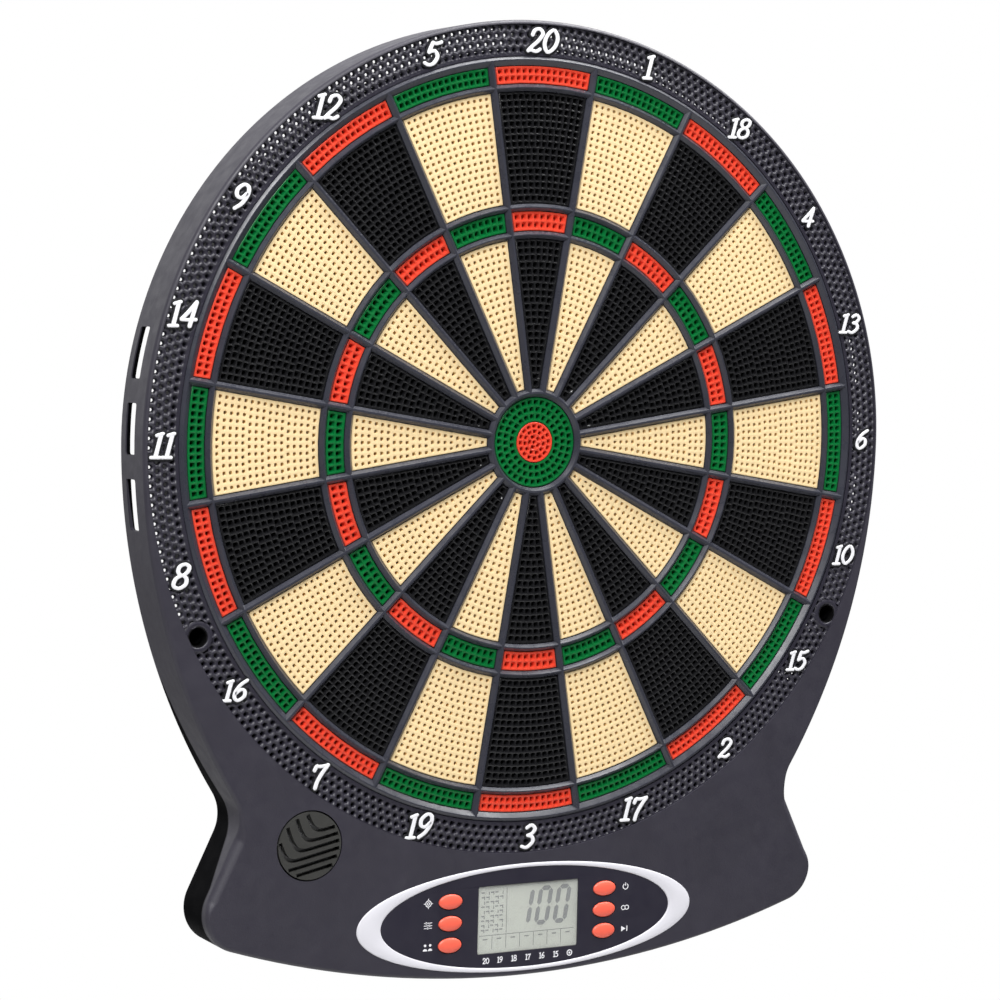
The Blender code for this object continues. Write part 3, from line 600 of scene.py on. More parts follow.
def hole_row(shape, low, high, angle_at, count, style):
    """One curved row of countersunk tip holes. Angle_at is a function of radius and share of the row."""
    rib, hole_r, edge_drop, throat_drop = style
    middle, half = (low + high) / 2, (high - low) / 2
    width = math.radians(angle_at(middle, 1.0) - angle_at(middle, 0.0)) * middle / count
    mouth = scaled(SOFT_SQUARE, half - rib / 2, width / 2 - rib / 2)
    throat = circle(hole_r, steps=8)
    for j in range(count):
        border = []
        for out, side in SQUARE:
            radius = middle + out * half
            border.append(polar(radius, angle_at(radius, (j + 0.5 + side / 2) / count)))
        degrees = angle_at(middle, (j + 0.5) / count)
        shape.chain([
            shape.loop(border, Y_SEGMENT),
            shape.loop(around(middle, degrees, mouth), Y_SEGMENT + edge_drop),
            shape.loop(around(middle, degrees, throat), Y_SEGMENT + throat_drop),
            shape.loop(around(middle, degrees, throat), Y_SEGMENT + TUBE_DEPTH),
        ])


def rim(shape, outline_at, thick=PLATE_THICK):
    """A plate's border: a flat band, a rounded edge and the skirt. Outline_at is a function of inset."""
    loops = [shape.loop(outline_at(inset), Y_SEGMENT + drop) for inset, drop in PLATE_EDGE]
    loops.append(shape.loop(outline_at(0.0), Y_SEGMENT + thick))
    shape.chain(loops[::-1])


def wedge_mesh(name, style):
    """The plate of one scoring segment, centred on the upward direction."""
    r_in, r_out, rows = WINDOWS[name]
    low, high, edge = r_in + GAP, r_out - GAP, SPOKE_HALF + GAP
    shape = Shape()
    step = (high - low - 2 * EDGE_BAND) / rows

    def angle_at(radius, share):
        return 90 + (2 * share - 1) * half_angle(radius, edge + EDGE_BAND)

    for i in range(rows):
        bottom = low + EDGE_BAND + step * i
        middle = bottom + step / 2
        width = 2 * math.radians(half_angle(middle, edge + EDGE_BAND)) * middle
        hole_row(shape, bottom, bottom + step, angle_at, max(1, round(width / HOLE_PITCH)), style)
    rim(shape, lambda inset: window_outline(low + inset, high - inset, edge + inset))
    return shape.mesh()


def ring_rows(shape, low, high, counts):
    """Full rings of tip holes, with the counts of holes given, each a little turned against the last."""
    step = (high - low) / len(counts)
    for i, count in enumerate(counts):
        inner = low + step * i
        outer = low + step * (i + 1)
        hole_row(shape, inner, outer, lambda _, share: RING_TURN * i + 360.0 * share, count, GRID_HOLES)


def bulls():
    """The ring-shaped outer bull and the inner bull, which has one more hole in its middle."""
    shape = Shape()
    bore, plate = INNER_BULL_R + BULL_GAP, HUB_R - BULL_GAP
    ring_rows(shape, bore + BULL_BAND, plate - BULL_BAND, OUTER_BULL_HOLES)
    rim(shape, lambda inset: circle(plate - inset, steps=72))
    shape.revolve([(bore + inset, drop) for inset, drop in BORE_EDGE], Y_SEGMENT, 72)
    place = ("outer_bull", "segment_green", ["outer_bull"])
    piece("outer_bull_plate", shape.mesh(), GREEN, *place, crease=PLATE_CREASE)
    shape = Shape()
    ring_rows(shape, BULL_CORE, INNER_BULL_R - BULL_BAND, INNER_BULL_HOLES)
    hole_r = GRID_HOLES[1]
    shape.revolve([(BULL_CORE + 0.1, 0.02), (hole_r, 0.7), (hole_r, TUBE_DEPTH)], Y_SEGMENT, 8)
    rim(shape, lambda inset: circle(INNER_BULL_R - inset, steps=72), BULL_THICK)
    place = ("inner_bull", "segment_red", ["inner_bull"])
    piece("inner_bull_plate", shape.mesh(), RED, *place, crease=PLATE_CREASE)


def segments():
    """Four plates for every number: black and red, or cream and green."""
    looks = (
        {"single": (BLACK, "segment_black", DEEP_HOLES), "band": (RED, "segment_red", GRID_HOLES)},
        {"single": (CREAM, "segment_cream", FLAT_HOLES), "band": (GREEN, "segment_green", GRID_HOLES)},
    )
    for turn, look in enumerate(looks):
        for name in WINDOWS:
            paint, slot, style = look["single" if name.endswith("single") else "band"]
            mesh = wedge_mesh(name, style)
            for k in range(turn, len(NUMBERS), 2):
                body = f"segments_{NUMBERS[k]:02d}"
                stands_for = [body] if name == "outer_single" else []
                plate = f"{name}_{NUMBERS[k]:02d}"
                piece(plate, mesh, paint, body, slot, stands_for, k * SECTOR, PLATE_CREASE)


def opening(name, k, inset):
    """The spider's opening for a window of the k-th number, made smaller by an inset."""
    r_in, r_out, _ = WINDOWS[name]
    rise = RIM_RIDGE - r_out if name == "double" else RIDGE
    outline = window_outline(r_in + inset, r_out - inset * rise / RIDGE, SPOKE_HALF + inset)
    return turned(outline, k * SECTOR)


def spider():
    """The moulded grid: roof-shaped ribs between the windows, and a broader rim."""
    outlines = []
    shape = Shape()
    for k in range(len(NUMBERS)):
        for name in WINDOWS:
            outlines.append(opening(name, k, -RIDGE))
            shape.chain([shape.loop(opening(name, k, inset), Y_FACE + drop) for inset, drop in RIB_PROFILE])
    shape.revolve([(HUB_R - inset, drop) for inset, drop in RIB_PROFILE], Y_FACE, 72)
    outlines.append(circle(HUB_R + RIDGE, steps=72))
    shape.revolve(RIM_PROFILE, Y_FACE, 240)
    top = flat([circle(RIM_PROFILE[-1][0], steps=240)] + outlines)
    top.transform(Matrix.Translation((0, Y_FACE * MM, 0)))
    mesh = joined([top, shape.mesh()], weld=2e-6)
    keep_flat(piece("spider_face", mesh, SPIDER, HOUSING, "spider", ["spider_grid"], crease=25))


# ---------------------------------------------------------------- catch ring and numbers

def wall_screw_places():
    x, z = polar(WALL_SCREW_R, WALL_SCREW_ANGLE)
    return ((-x, z), (x, z))


def catch_ring():
    """The perforated ring: staggered rows of countersunk holes that go right through."""
    shape = Shape()
    turn = 360.0 / RING_HOLES
    step = RING_ROWS[1] - RING_ROWS[0]
    hexagon = circle(1.0, steps=6)
    for row, radius in enumerate(RING_ROWS):
        for j in range(RING_HOLES):
            degrees = turn * (j + 0.5 * (row % 2))
            x, z = polar(radius, degrees)
            if min(math.hypot(x - sx, z - sz) for sx, sz in wall_screw_places()) < SCREW_CLEAR:
                continue
            border = [polar(radius + out * step, degrees + side * turn) for out, side in RING_CORNERS]
            shape.chain([
                shape.loop(border, Y_RING),
                *[shape.loop(around(radius, degrees, scaled(hexagon, r, r)), y) for r, y in RING_FUNNEL],
                shape.loop(border, Y_CAVITY),
            ])
    front, back = Y_RING + RING_EDGE, Y_CAVITY - RING_EDGE
    inside, outside = RING_IN - 0.1, RING_OUT + 0.2
    first, last = RING_ROWS[0] - step / 3 + RING_EDGE, RING_ROWS[-1] + step / 3 - RING_EDGE
    for low, high in ((inside, first), (last, outside)):
        shape.revolve([(high, front), (low, front)], 0.0, RING_HOLES)
        shape.revolve([(low, back), (high, back)], 0.0, RING_HOLES)
    shape.revolve([(inside, back), (inside, front)], 0.0, RING_HOLES)
    for centre in wall_screw_places():
        shape.revolve(COLLAR, Y_RING, 40, centre)
    piece("catch_ring", shape.mesh(), CHARCOAL, HOUSING, "housing")
    # Painted shade: a near-black sleeve down each wall-screw hole stands for the shade inside it.
    for side, centre in zip(("left", "right"), wall_screw_places()):
        outlines = [circle(radius, centre, 40) for radius in SHADE_LINER_R]
        shade_liner = prism(outlines, Y_RING + 0.35, SCREW_SEAT - 0.1)
        piece("painted_shade_liner_" + side, shade_liner, SHADE_LINER, HOUSING, "housing")


# Each digit's width and its strokes, in a box 100 units high. A smooth line runs through a stroke's (x, z).
DIGIT_UNITS = 100.0
DIGITS = {
    "0": (62, [[(31, 93), (10, 72), (7, 36), (27, 7), (50, 28), (53, 64), (31, 93)]]),
    "1": (40, [[(21, 90), (21, 50), (21, 9)], [(6, 87), (15, 90), (27, 94)], [(5, 7), (21, 7), (37, 7)]]),
    "2": (60, [
        [(10, 70), (15, 88), (34, 93), (50, 76), (40, 50), (22, 28), (8, 8)],
        [(8, 8), (20, 11), (40, 7), (54, 16)],
    ]),
    "3": (56, [
        [(11, 84), (29, 94), (46, 78), (38, 60), (22, 54)],
        [(22, 54), (42, 47), (49, 27), (30, 7), (8, 12)],
    ]),
    "4": (62, [
        [(44, 93), (25, 60), (5, 31)],
        [(5, 30), (30, 29), (57, 30)],
        [(44, 92), (42, 50), (40, 6)],
    ]),
    "5": (56, [
        [(18, 90), (34, 88), (50, 95)],
        [(18, 90), (14, 70), (12, 54)],
        [(12, 54), (32, 60), (48, 40), (40, 14), (22, 6), (5, 13)],
    ]),
    "6": (60, [[(46, 94), (24, 76), (9, 46), (12, 18), (30, 6), (50, 24), (46, 47), (30, 54), (12, 38)]]),
    "7": (56, [
        [(5, 74), (8, 86), (12, 90)],
        [(10, 89), (30, 88), (52, 92)],
        [(52, 92), (36, 60), (26, 30), (24, 6)],
    ]),
    "8": (60, [
        [(31, 53), (13, 66), (14, 86), (32, 94), (48, 84), (47, 66), (31, 53)],
        [(31, 53), (10, 40), (9, 16), (30, 6), (50, 18), (49, 40), (31, 53)],
    ]),
    "9": (60, [[(46, 60), (30, 45), (12, 53), (9, 76), (28, 94), (47, 84), (50, 56), (36, 24), (14, 6)]]),
}


def smooth_line(points, steps=6):
    """Points along a smooth line through the given ones."""
    if len(points) < 3:
        return points
    closed = points[0] == points[-1]
    before = points[-2] if closed else points[0]
    after = points[1] if closed else points[-1]
    padded = [before] + list(points) + [after]
    line = []
    for i in range(1, len(padded) - 2):
        p0, p1, p2, p3 = (Vector(p) for p in padded[i - 1:i + 3])
        for s in range(steps):
            t = s / steps
            line.append(0.5 * (2 * p1 + (p2 - p0) * t + (2 * p0 - 5 * p1 + 4 * p2 - p3) * t**2
                               + (3 * p1 - p0 - 3 * p2 + p3) * t**3))
    return [tuple(p) for p in line] + [tuple(points[-1])]


def normals(line):
    """The direction to the left of a line at each of its points."""
    ways = []
    for i in range(len(line)):
        along = (line[min(i + 1, len(line) - 1)] - line[max(i - 1, 0)]).normalized()
        ways.append(Vector((-along.y, along.x)))
    return ways


def stroke(shape, line, nib, front, back):
    """A raised stroke drawn with an oval nib, round at both ends."""
    points = [Vector(p) for p in line]
    left, right = [], []
    for point, normal in zip(points, normals(points)):
        reach = normal * math.hypot(nib[0] * normal.x, nib[1] * normal.y)
        left.append(point + reach)
        right.append(point - reach)
    closed = (points[0] - points[-1]).length < 1e-6
    ends = []
    for point, side in ((points[-1], right[-1]), (points[0], left[0])):
        turns = [] if closed else [Matrix.Rotation(math.radians(a), 2) for a in (36, 72, 108, 144)]
        ends.append([point + turn @ (side - point) for turn in turns])
    outline = right + ends[0] + left[::-1] + ends[1]
    spine = points + [points[-1]] * len(ends[0]) + points[::-1] + [points[0]] * len(ends[1])
    inner = [o.lerp(m, 0.3) for o, m in zip(outline, spine)]
    loops = [shape.loop(spine, front), shape.loop(inner, front),
             shape.loop(outline, front + CROWN), shape.loop(outline, back)]
    shape.chain(loops[::-1])


def digits(text, centre, height, breadth, nib, depths, lean=0.24, layer=0.02):
    """A number drawn with strokes, centred on a place. Strokes that cross lie a little apart in depth."""
    shape = Shape()
    x = -sum(DIGITS[c][0] for c in text) / (2 * DIGIT_UNITS)
    level = 0
    for c in text:
        width, strokes = DIGITS[c]
        for line in strokes:
            points = []
            for px, pz in smooth_line(scaled(line, 1 / DIGIT_UNITS, 1 / DIGIT_UNITS)):
                across = (x + px + lean * (pz - 0.5)) * height * breadth
                points.append((across + centre[0], (pz - 0.5) * height + centre[1]))
            stroke(shape, points, nib, depths[0] - layer * (level % 3), depths[1])
            level += 1
        x += width / DIGIT_UNITS
    return shape.mesh()


def numbers():
    """White numbers on the catch ring, each on a dark pad of its own shape."""
    for k, number in enumerate(NUMBERS):
        centre = polar(NUMBER_R, 90 + NUMBER_TURN - k * SECTOR)
        name = f"number_{number:02d}"
        height, breadth, nib = SMALL_DIGITS if number in SMALL_NUMBERS else LARGE_DIGITS
        white = digits(str(number), centre, height, breadth, nib, NUMBER_DEPTHS)
        piece(name, white, WHITE, HOUSING, "trim_white")
        wide_nib = [half + PAD_MARGIN for half in nib]
        dark = digits(str(number), centre, height, breadth, wide_nib, PAD_DEPTHS, layer=0.01)
        piece(name + "_pad", dark, PAD, HOUSING, "housing")


# ---------------------------------------------------------------- housing

def grille_line(i):
    """One groove of the grille: steep at its left end, then bending to a line that rises to the right."""
    corner, level = (start - step * i for start, step in zip(GRILLE_START, GRILLE_PITCH))
    line = []
    for j in range(-60, 61):
        x = 0.25 * j
        bend = GRILLE_BEND * math.log(1.0 + math.exp(GRILLE_STEEP * (corner - x) / GRILLE_BEND))
        z = level + GRILLE_SLOPE * x + bend
        if math.hypot(x, z) < GRILLE_R - GRILLE_MARGIN:
            line.append(Vector((x, z)))
    return line


def speaker_grille():
    """The disc over the speaker, with curved slots right through it."""
    cutters = []
    for i in range(GRILLE_SLOTS):
        line = grille_line(i)
        reaches = [normal * GRILLE_SLOT / 2 for normal in normals(line)]
        upper = [tuple(point + reach) for point, reach in zip(line, reaches)]
        lower = [tuple(point - reach) for point, reach in zip(line, reaches)]
        slot = moved(lower + upper[::-1], *GRILLE)
        cutters.append(prism([slot], Y_FACE - 2, Y_CAVITY + 2))
    disc = prism([circle(GRILLE_R - GRILLE_GAP, GRILLE, 64)], Y_FACE - GRILLE_PROUD, Y_CAVITY + 0.1)
    disc = carved(disc, cutters)
    soften(piece("speaker_grille", disc, GRILLE_PAINT, HOUSING, "panel", crease=CUT_CREASE), 0.2)


def key_places():
    places = {}
    for side, x in (("left", -KEY_X), ("right", KEY_X)):
        for i, level in enumerate(("upper", "middle", "lower")):
            places[f"{level}_{side}"] = (PANEL_X + x, PANEL_Z + (1 - i) * KEY_STEP)
    return places


def block():
    """The housing's outer form: a rounded front edge, a bevel above the feet, and straight walls."""
    shape = Shape()
    loops = []
    for i in range(EDGE_STEPS + 1):
        turn = math.radians(90.0 * i / EDGE_STEPS)
        inset, drop, straight = 1 - math.sin(turn), 1 - math.cos(turn), i / EDGE_STEPS
        outline = outline_moved(
            lambda _, z: edge_size(z)[0] * (inset + (1 - straight - inset) * FLATNESS * bevel_share(z))
        )
        depths = [
            Y_FACE + edge_size(z)[1] * (drop + (straight - drop) * FLATNESS * bevel_share(z))
            for _, z in body_outline()
        ]
        loops.append(shape.loop(outline, depths))
    loops.append(shape.loop(body_outline(), 0.0))
    shape.chain(loops[::-1])
    shape.cap(loops[0])
    shape.cap_back(loops[-1])
    return shape.mesh()


def gutter_web(side):
    """A web that closes the lower end of the gutter between the cover and the side wall."""
    outer = [(x, z) for x, z in body_outline(1.0) if x > 0 and WEB_Z[0] < z < WEB_Z[1]]
    outer.sort(key=lambda place: place[1])
    inner = arc((0.0, 0.0), WEB_R, *WEB_ANGLES)
    return prism([scaled(inner + outer, side, 1)], *WEB_Y)


def housing():
    """The front shell, with its side slots, key holes, display opening, grille opening and screw tubes."""
    shell = block()
    front_cavity = prism([body_outline(WALL, FOOT_BEVEL[0])], Y_CAVITY, BEVEL_CLEAR)
    back_cavity = prism([body_outline(WALL)], BEVEL_CLEAR - OVERCUT, BEHIND)
    added = [prism([circle(SCREW_TUBE_R, c, 32)], Y_CAVITY - 1, 0.0) for c in wall_screw_places()]
    cutters = [prism([circle(RING_OUT, steps=RING_HOLES)], *FRONT_CUT)]
    for side in (-1, 1):
        added.append(gutter_web(side))
        for z in SLOT_Z:
            cutters.append(side_slot(side, z))
    cutters.append(prism([ellipse(TRIM, PANEL_AT, TRIM_GAP)], FRONT_CUT[0], Y_FACE + TRIM_DEPTH))
    for cavity in (front_cavity, back_cavity):
        shell = carved(shell, [cavity])
    shell = carved(shell, cutters, added)
    fine = [prism([circle(GRILLE_R, GRILLE, 64)], *FRONT_CUT)]
    fine.append(prism([display_outline(2.0, 1.0)], *FRONT_CUT))
    for place in key_places().values():
        fine.append(prism([ellipse(KEY_HALF, place, KEY_GAP, 32)], *FRONT_CUT))
    for centre in wall_screw_places():
        fine.append(prism([circle(SCREW_HEAD_R, centre, 32)], FRONT_CUT[0], SCREW_SEAT))
        fine.append(prism([circle(SCREW_HOLE_R, centre, 32)], FRONT_CUT[0], BEHIND))
    shell = carved(shell, fine)
    paint = shell_paint()
    keep_flat(piece("housing_shell", shell, paint, HOUSING, "housing", ["front_housing"], crease=CUT_CREASE))


def side_slot(side, z):
    """A cutter for one slot in a side wall, with round corners."""
    cutter = prism([rectangle(SLOT_WIDTH, SLOT_LENGTH, corner=SLOT_CORNER)], *SLOT_CUT)
    place = Matrix.Translation((side * HEAD_R * MM, SLOT_Y * MM, z * MM))
    cutter.transform(place @ Matrix.Rotation(math.pi / 2, 4, "Z"))
    return cutter


# ---------------------------------------------------------------- control panel

def keys():
    """The domed key caps."""
    for name, place in key_places().items():
        shape = Shape()
        loops = []
        for i in range(1, KEY_STEPS + 1):
            share = math.sin(math.pi / 2 * i / KEY_STEPS)
            top = KEY_TOP + KEY_DOME * (1 - math.sqrt(max(0.0, 1 - share**2)))
            loops.append(shape.loop(ellipse([half * share for half in KEY_HALF], place, steps=48), top))
        loops.append(shape.loop(ellipse(KEY_HALF, place, steps=48), Y_CAVITY))
        shape.chain(loops[::-1])
        shape.cap(loops[0])
        mesh = shape.mesh()
        piece("key_cap_" + name, mesh, KEY_RED, "key_" + name, "key_red", ["key_" + name])


def display_outline(grow, corner=0.6):
    """The display opening's outline, made larger by grow."""
    return rectangle(DISPLAY_W + grow, DISPLAY_H + grow, PANEL_AT, corner)


def control_panel():
    """The pale oval trim, the dark insert inside it and the lens over the display."""
    shape = Shape()
    outer = [shape.loop(ellipse(TRIM, PANEL_AT, -inset), Y_FACE + drop) for inset, drop in TRIM_EDGE]
    inner = [
        shape.loop(ellipse(PANEL, PANEL_AT, PANEL_GAP + inset), Y_FACE + drop)
        for inset, drop in reversed(TRIM_EDGE)
    ]
    shape.chain(outer + inner)
    mesh = shape.mesh()
    piece("oval_trim", mesh, TRIM_WHITE, HOUSING, "trim_white", ["panel_trim"])
    outlines = [ellipse(PANEL, PANEL_AT), display_outline(0.0, 0.8)]
    outlines += [ellipse(KEY_HALF, place, KEY_GAP, 48) for place in key_places().values()]
    insert = prism(outlines, Y_FACE + 0.02, Y_FACE + 0.68)
    insert = piece("panel_insert", insert, INSERT, HOUSING, "panel", ["control_panel"], crease=CUT_CREASE)
    soften(insert, 0.15)
    lens = prism([display_outline(-0.6, 0.8)], Y_FACE + 0.2, Y_FACE + 1.0)
    piece("display_lens", lens, clear_lens(), HOUSING, "window", ["display_window"], crease=CUT_CREASE)


def display_marks(top):
    """Outlines of the display's fixed fields: ruled lines, short bars between them and a pattern of bars."""
    rule, line_z = FIELD_LINE, top - 23.3
    # Each mark is its width, its height and its middle.
    marks = [(DISPLAY_W - 3, rule, 0.0, line_z)]
    marks += [(rule, 6.4, -18.3 + FIELD_STEP * i, line_z - 3.3) for i in range(6)]
    marks += [(2.4, 0.6, -21.9 + FIELD_STEP * i, line_z - 1.8) for i in range(7)]
    for column in range(5):
        for row in range(9):
            x, z = -23.4 + 2.4 * column, top - 3.2 - 2.2 * row
            if (column * 5 + row * 3) % 7 < 5:
                marks.append((1.7, 0.6, x, z))
            if (column + row) % 3:
                marks.append((0.45, 1.6, x + 0.8, z - 0.4))
    marks.append((rule, 21.0, -10.9, top - 12.2))
    return [
        rectangle(width, height, (x, z), 0.05 if rule in (width, height) else 0.1, 45)
        for width, height, x, z in marks
    ]


def display():
    """The liquid-crystal display: its glass, a three-digit reading and small fixed fields."""
    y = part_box("lcd_module")[0].y / MM
    base = prism([display_outline(6.0)], y + 2.2, y + 5.0)
    front = prism([display_outline(0.6)], y, y + 2.6)
    piece("lcd_panel", carved(base, (), [front]), LCD, HOUSING, "lcd", ["lcd_module"], crease=CUT_CREASE)
    top = PANEL_Z + DISPLAY_H / 2
    ink = []
    for i, lit in enumerate(("bc", "abcdef", "abcdef")):
        left = READING_X + READING_STEP * i
        ink += [moved(bar, left, top - READING_DOWN - READING_H) for bar in seven_segments(lit)]
    ink += display_marks(top)
    mesh = joined([prism([moved(outline, PANEL_X, 0.0)], y - 0.06, y - 0.01) for outline in ink])
    piece("lcd_reading", mesh, LCD_INK, HOUSING, "lcd", crease=0)


def seven_segments(lit):
    """Outlines of the lit bars of a leaning seven-segment digit, from its lower left corner."""
    width, height, tip, gap = READING_W, READING_H, READING_BAR / 2, 0.25
    level = {"a": height - tip, "g": height / 2, "d": tip}
    outlines = []
    for name in lit:
        if name in level:
            points = [(x, level[name] + z) for x, z in lozenge(gap + tip, width - gap - tip, tip)]
        else:
            middle = tip if name in "fe" else width - tip
            low = gap + (tip if name in "ec" else height / 2)
            high = (height - tip if name in "fb" else height / 2) - gap
            points = [(middle - z, x) for x, z in lozenge(low, high, tip)]
        outlines.append([(x + READING_LEAN * z, z) for x, z in points])
    return outlines


def lozenge(low, high, tip):
    """A bar along X with pointed ends."""
    first, last = low + tip, high - tip
    return [(low, 0.0), (first, -tip), (last, -tip), (high, 0.0), (last, tip), (first, tip)]


def signs():
    """White printing on the insert: a sign beside each key and the scale under the display."""
    drawings = {
        "upper_left": target_sign, "middle_left": sliders_sign, "lower_left": people_sign,
        "upper_right": power_sign, "middle_right": rings_sign, "lower_right": next_sign,
    }
    for name, (x, z) in key_places().items():
        x += math.copysign(SIGN_REACH, x)
        groups = [[moved(outline, x, z) for outline in group] for group in drawings[name]()]
        mesh = joined([prism(group, Y_FACE - 0.03, Y_FACE + 0.03) for group in groups])
        piece("sign_" + name, mesh, WHITE, HOUSING, "trim_white", crease=0)
    y = Y_FACE - 0.02
    parts = []
    places = [(PANEL_X + SCALE_X + SCALE_STEP * i, PANEL_Z - SCALE_DOWN) for i in range(7)]
    depths = (y - 0.02, y + 0.1)
    for number, centre in zip((20, 19, 18, 17, 16, 15), places):
        parts.append(digits(str(number), centre, SCALE_HEIGHT, 1.0, SCALE_NIB, depths, lean=0.0, layer=0.004))
    last = places[-1]
    parts.append(prism([circle(1.5, last, 32), circle(1.0, last, 32)], y, y + 0.1))
    parts.append(prism([circle(0.5, last, 20)], y, y + 0.1))
    piece("display_scale", joined(parts), WHITE, HOUSING, "trim_white", crease=0)


def band(radius, width, start, end):
    """A curved band as one outline."""
    return arc((0, 0), radius + width / 2, start, end, 10) + arc((0, 0), radius - width / 2, end, start, 10)


def target_sign():
    groups = [[circle(1.6, steps=32), circle(1.2, steps=32)], [circle(0.75, steps=24), circle(0.4, steps=24)]]
    groups += [[rectangle(0.35, 0.9, (0, z), 0.1)] for z in (1.9, -1.9)]
    return groups + [[rectangle(0.9, 0.35, (x, 0), 0.1)] for x in (1.9, -1.9)]


def sliders_sign():
    groups = []
    for i, knob in enumerate((-0.9, 0.8, -0.2)):
        z = 1.2 - 1.2 * i
        groups.append([rectangle(4.2, 0.3, (0, z), 0.1)])
        groups.append([circle(0.5, (knob, z), 20)])
    return groups


def people_sign():
    groups = []
    for x in (-1.3, 1.3):
        groups.append([circle(0.62, (x, 0.95), 24)])
        groups.append([moved(arc((0, 0), 1.1, 0, 180, 12), x, -1.6)])
    return groups


def power_sign():
    return [[band(1.35, 0.42, 120, 420)], [rectangle(0.42, 1.6, (0, 1.05), 0.15)]]


def rings_sign():
    whole = [circle(1.2, (-0.95, 0), 32), circle(0.8, (-0.95, 0), 32)]
    return [whole, [moved(band(1.0, 0.4, -140, 140), 0.95, 0)]]


def next_sign():
    return [[[(-1.8, -1.3), (0.6, 0.0), (-1.8, 1.3)]], [rectangle(0.55, 2.6, (1.3, 0), 0.1)]]


# ---------------------------------------------------------------- back of the board, and kept CAD nodes

def copied(name):
    """The shape of a CAD node, ready to be cut."""
    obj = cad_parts[name]
    mesh = obj.data.copy()
    mesh.transform(obj.matrix_world)
    mesh.materials.clear()
    return mesh


def back():
    """The rear cover with its moulded grooves and blank label field, and the battery door with its grip."""
    half = GROOVE_WIDTH / 2
    grooves = [
        prism([circle(radius + half, steps=144), circle(radius - half, steps=144)], -GROOVE_DEPTH, 1.0)
        for radius in GROOVES
    ]
    grooves.append(prism([rectangle(*LABEL_SIZE, (0.0, LABEL_Z), 3.0)], -0.5 * GROOVE_DEPTH, 1.0))
    cover = carved(copied("rear_cover"), grooves)
    soften(piece("back_cover", cover, BACK, HOUSING, "housing", ["rear_cover"], crease=CUT_CREASE), 0.3)
    grip_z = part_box("battery_door")[1].z / MM - GRIP_DOWN
    ridges = [
        prism([rectangle(*RIDGE_SIZE, (0.0, grip_z + RIDGE_STEP * i), 0.3)], -0.9, -0.25) for i in (-1, 0, 1)
    ]
    recess = prism([rectangle(*GRIP_SIZE, (0.0, grip_z), 4.0)], -GRIP_DEPTH, 1.0)
    lid = carved(copied("battery_door"), [recess], ridges)
    lid = piece("battery_lid", lid, BACK, "battery_door", "housing", ["battery_door"], crease=CUT_CREASE)
    soften(lid, 0.2)


def inner_parts():
    """Gives the CAD nodes that stay in view their materials."""
    sides = ("left", "right")
    looks = (
        (RUBBER, ["rubber_mat"] + [f"keypad_rubber_{side}" for side in sides]),
        (FILM, ["membrane_front_film", "membrane_spacer", "membrane_rear_film"]),
        (FILM, [f"membrane_tail_{side}" for side in sides]),
        (STEEL, ["speaker"] + [f"contact_plate_{side}" for side in sides]),
        (STEEL, [f"housing_screw_{i}" for i in range(1, 8)]),
        (JACKET, [f"battery_{i}" for i in range(1, 4)]),
        (BOARD, ["backing_board"]),
        (PCB, ["main_board"]),
        (WIRE, ["speaker_lead"]),
    )
    for paint, names in looks:
        for name in names:
            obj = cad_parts[name]
            obj.data.materials.clear()
            obj.data.materials.append(paint)


# ---------------------------------------------------------------- camera, light and floor

def camera():
    azimuth, elevation, roll = (math.radians(a) for a in (CAMERA_AZIMUTH, CAMERA_ELEVATION, CAMERA_ROLL))
    level = math.cos(elevation)
    back = Vector((math.sin(azimuth) * level, -math.cos(azimuth) * level, math.sin(elevation)))
    right = Vector((math.cos(azimuth), math.sin(azimuth), 0.0))
    up = back.cross(right)
    across = right * math.cos(roll) + up * math.sin(roll)
    upward = up * math.cos(roll) - right * math.sin(roll)
    bull = Vector((0.0, Y_FACE, 0.0))
    place = bull + back * CAMERA_DISTANCE + across * CAMERA_RIGHT + upward * CAMERA_UP
    data = bpy.data.cameras.new("camera")
    data.lens = LENS
    data.sensor_width = SENSOR_WIDTH
    obj = placed("camera", data)
    turn = Matrix((across, upward, back)).transposed()
    obj.matrix_world = Matrix.Translation(place * MM) @ turn.to_4x4()
    bpy.context.scene.camera = obj


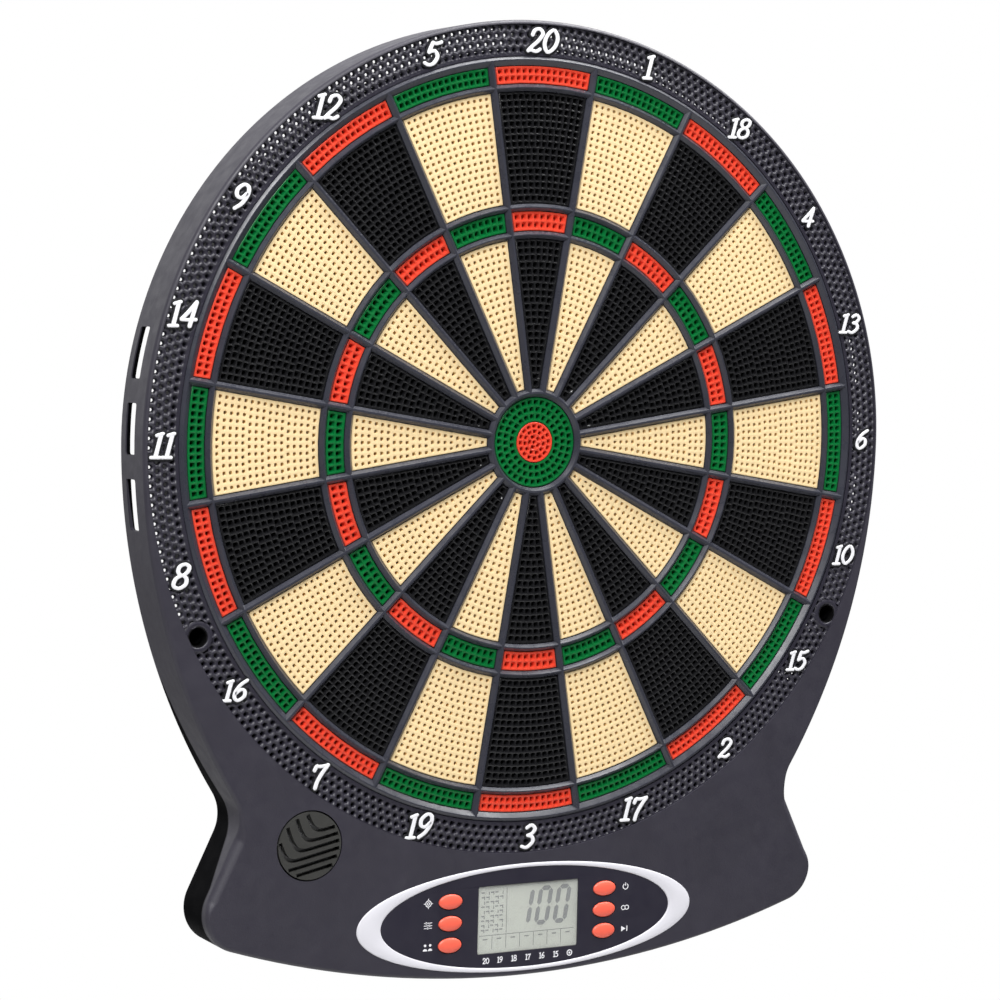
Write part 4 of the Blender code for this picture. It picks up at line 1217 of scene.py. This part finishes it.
def area_light(name, place, size, power):
    """A soft rectangular light that points at the bull."""
    data = bpy.data.lights.new(name, "AREA")
    data.shape = "RECTANGLE"
    data.size, data.size_y = size
    data.energy = power
    obj = placed(name, data)
    obj.location = place
    obj.rotation_euler = Vector(place).to_track_quat("Z", "Y").to_euler()


def room_shade(tree):
    """How bright the room is in each direction: pale behind the board, and dark in front of it and below."""
    direction = tree.nodes.new("ShaderNodeTexCoord").outputs["Generated"]
    split = node(tree, "ShaderNodeSeparateXYZ", Vector=direction)
    behind = ramp(tree, split.outputs["Y"], 0.0, 1.0, 0.1, 0.6)
    above = ramp(tree, split.outputs["Z"], 0.0, 1.0, -0.35, 0.15)
    return ramp(tree, arithmetic(tree, "MULTIPLY", behind, above), *ROOM_LIGHT, 0.0, 1.0)


def studio():
    """A white background, a soft light overhead and a larger one at the upper left, above a pale floor."""
    world = bpy.data.worlds.new("studio")
    world.use_nodes = True
    tree = world.node_tree
    white = (1.0, 1.0, 1.0, 1.0)
    room = tree.nodes["Background"]
    room.inputs["Color"].default_value = white
    tree.links.new(room_shade(tree), room.inputs["Strength"])
    backdrop = node(tree, "ShaderNodeBackground", Color=white, Strength=1.0)
    path = tree.nodes.new("ShaderNodeLightPath")
    mix = node(tree, "ShaderNodeMixShader", Fac=path.outputs["Is Camera Ray"])
    for socket, light in zip(mix.inputs[1:], (room, backdrop)):
        tree.links.new(light.outputs["Background"], socket)
    tree.links.new(mix.outputs["Shader"], tree.nodes["World Output"].inputs["Surface"])
    bpy.context.scene.world = world
    bpy.context.scene.view_settings.view_transform = "Standard"
    area_light("key", *KEY_LIGHT)
    area_light("overhead", *OVERHEAD_LIGHT)
    shape = Shape()
    shape.cap(shape.loop(circle(FLOOR_R, steps=96), 0.0))
    mesh = shape.mesh()
    mesh.transform(Matrix.Rotation(-math.pi / 2, 4, "X"))
    floor = placed("floor", mesh)
    floor.location = (0, 0, -BULL_HEIGHT * MM)
    mesh.materials.append(FLOOR)


camera()
studio()
housing()
speaker_grille()
catch_ring()
numbers()
spider()
segments()
bulls()
control_panel()
display()
keys()
signs()
inner_parts()
back()
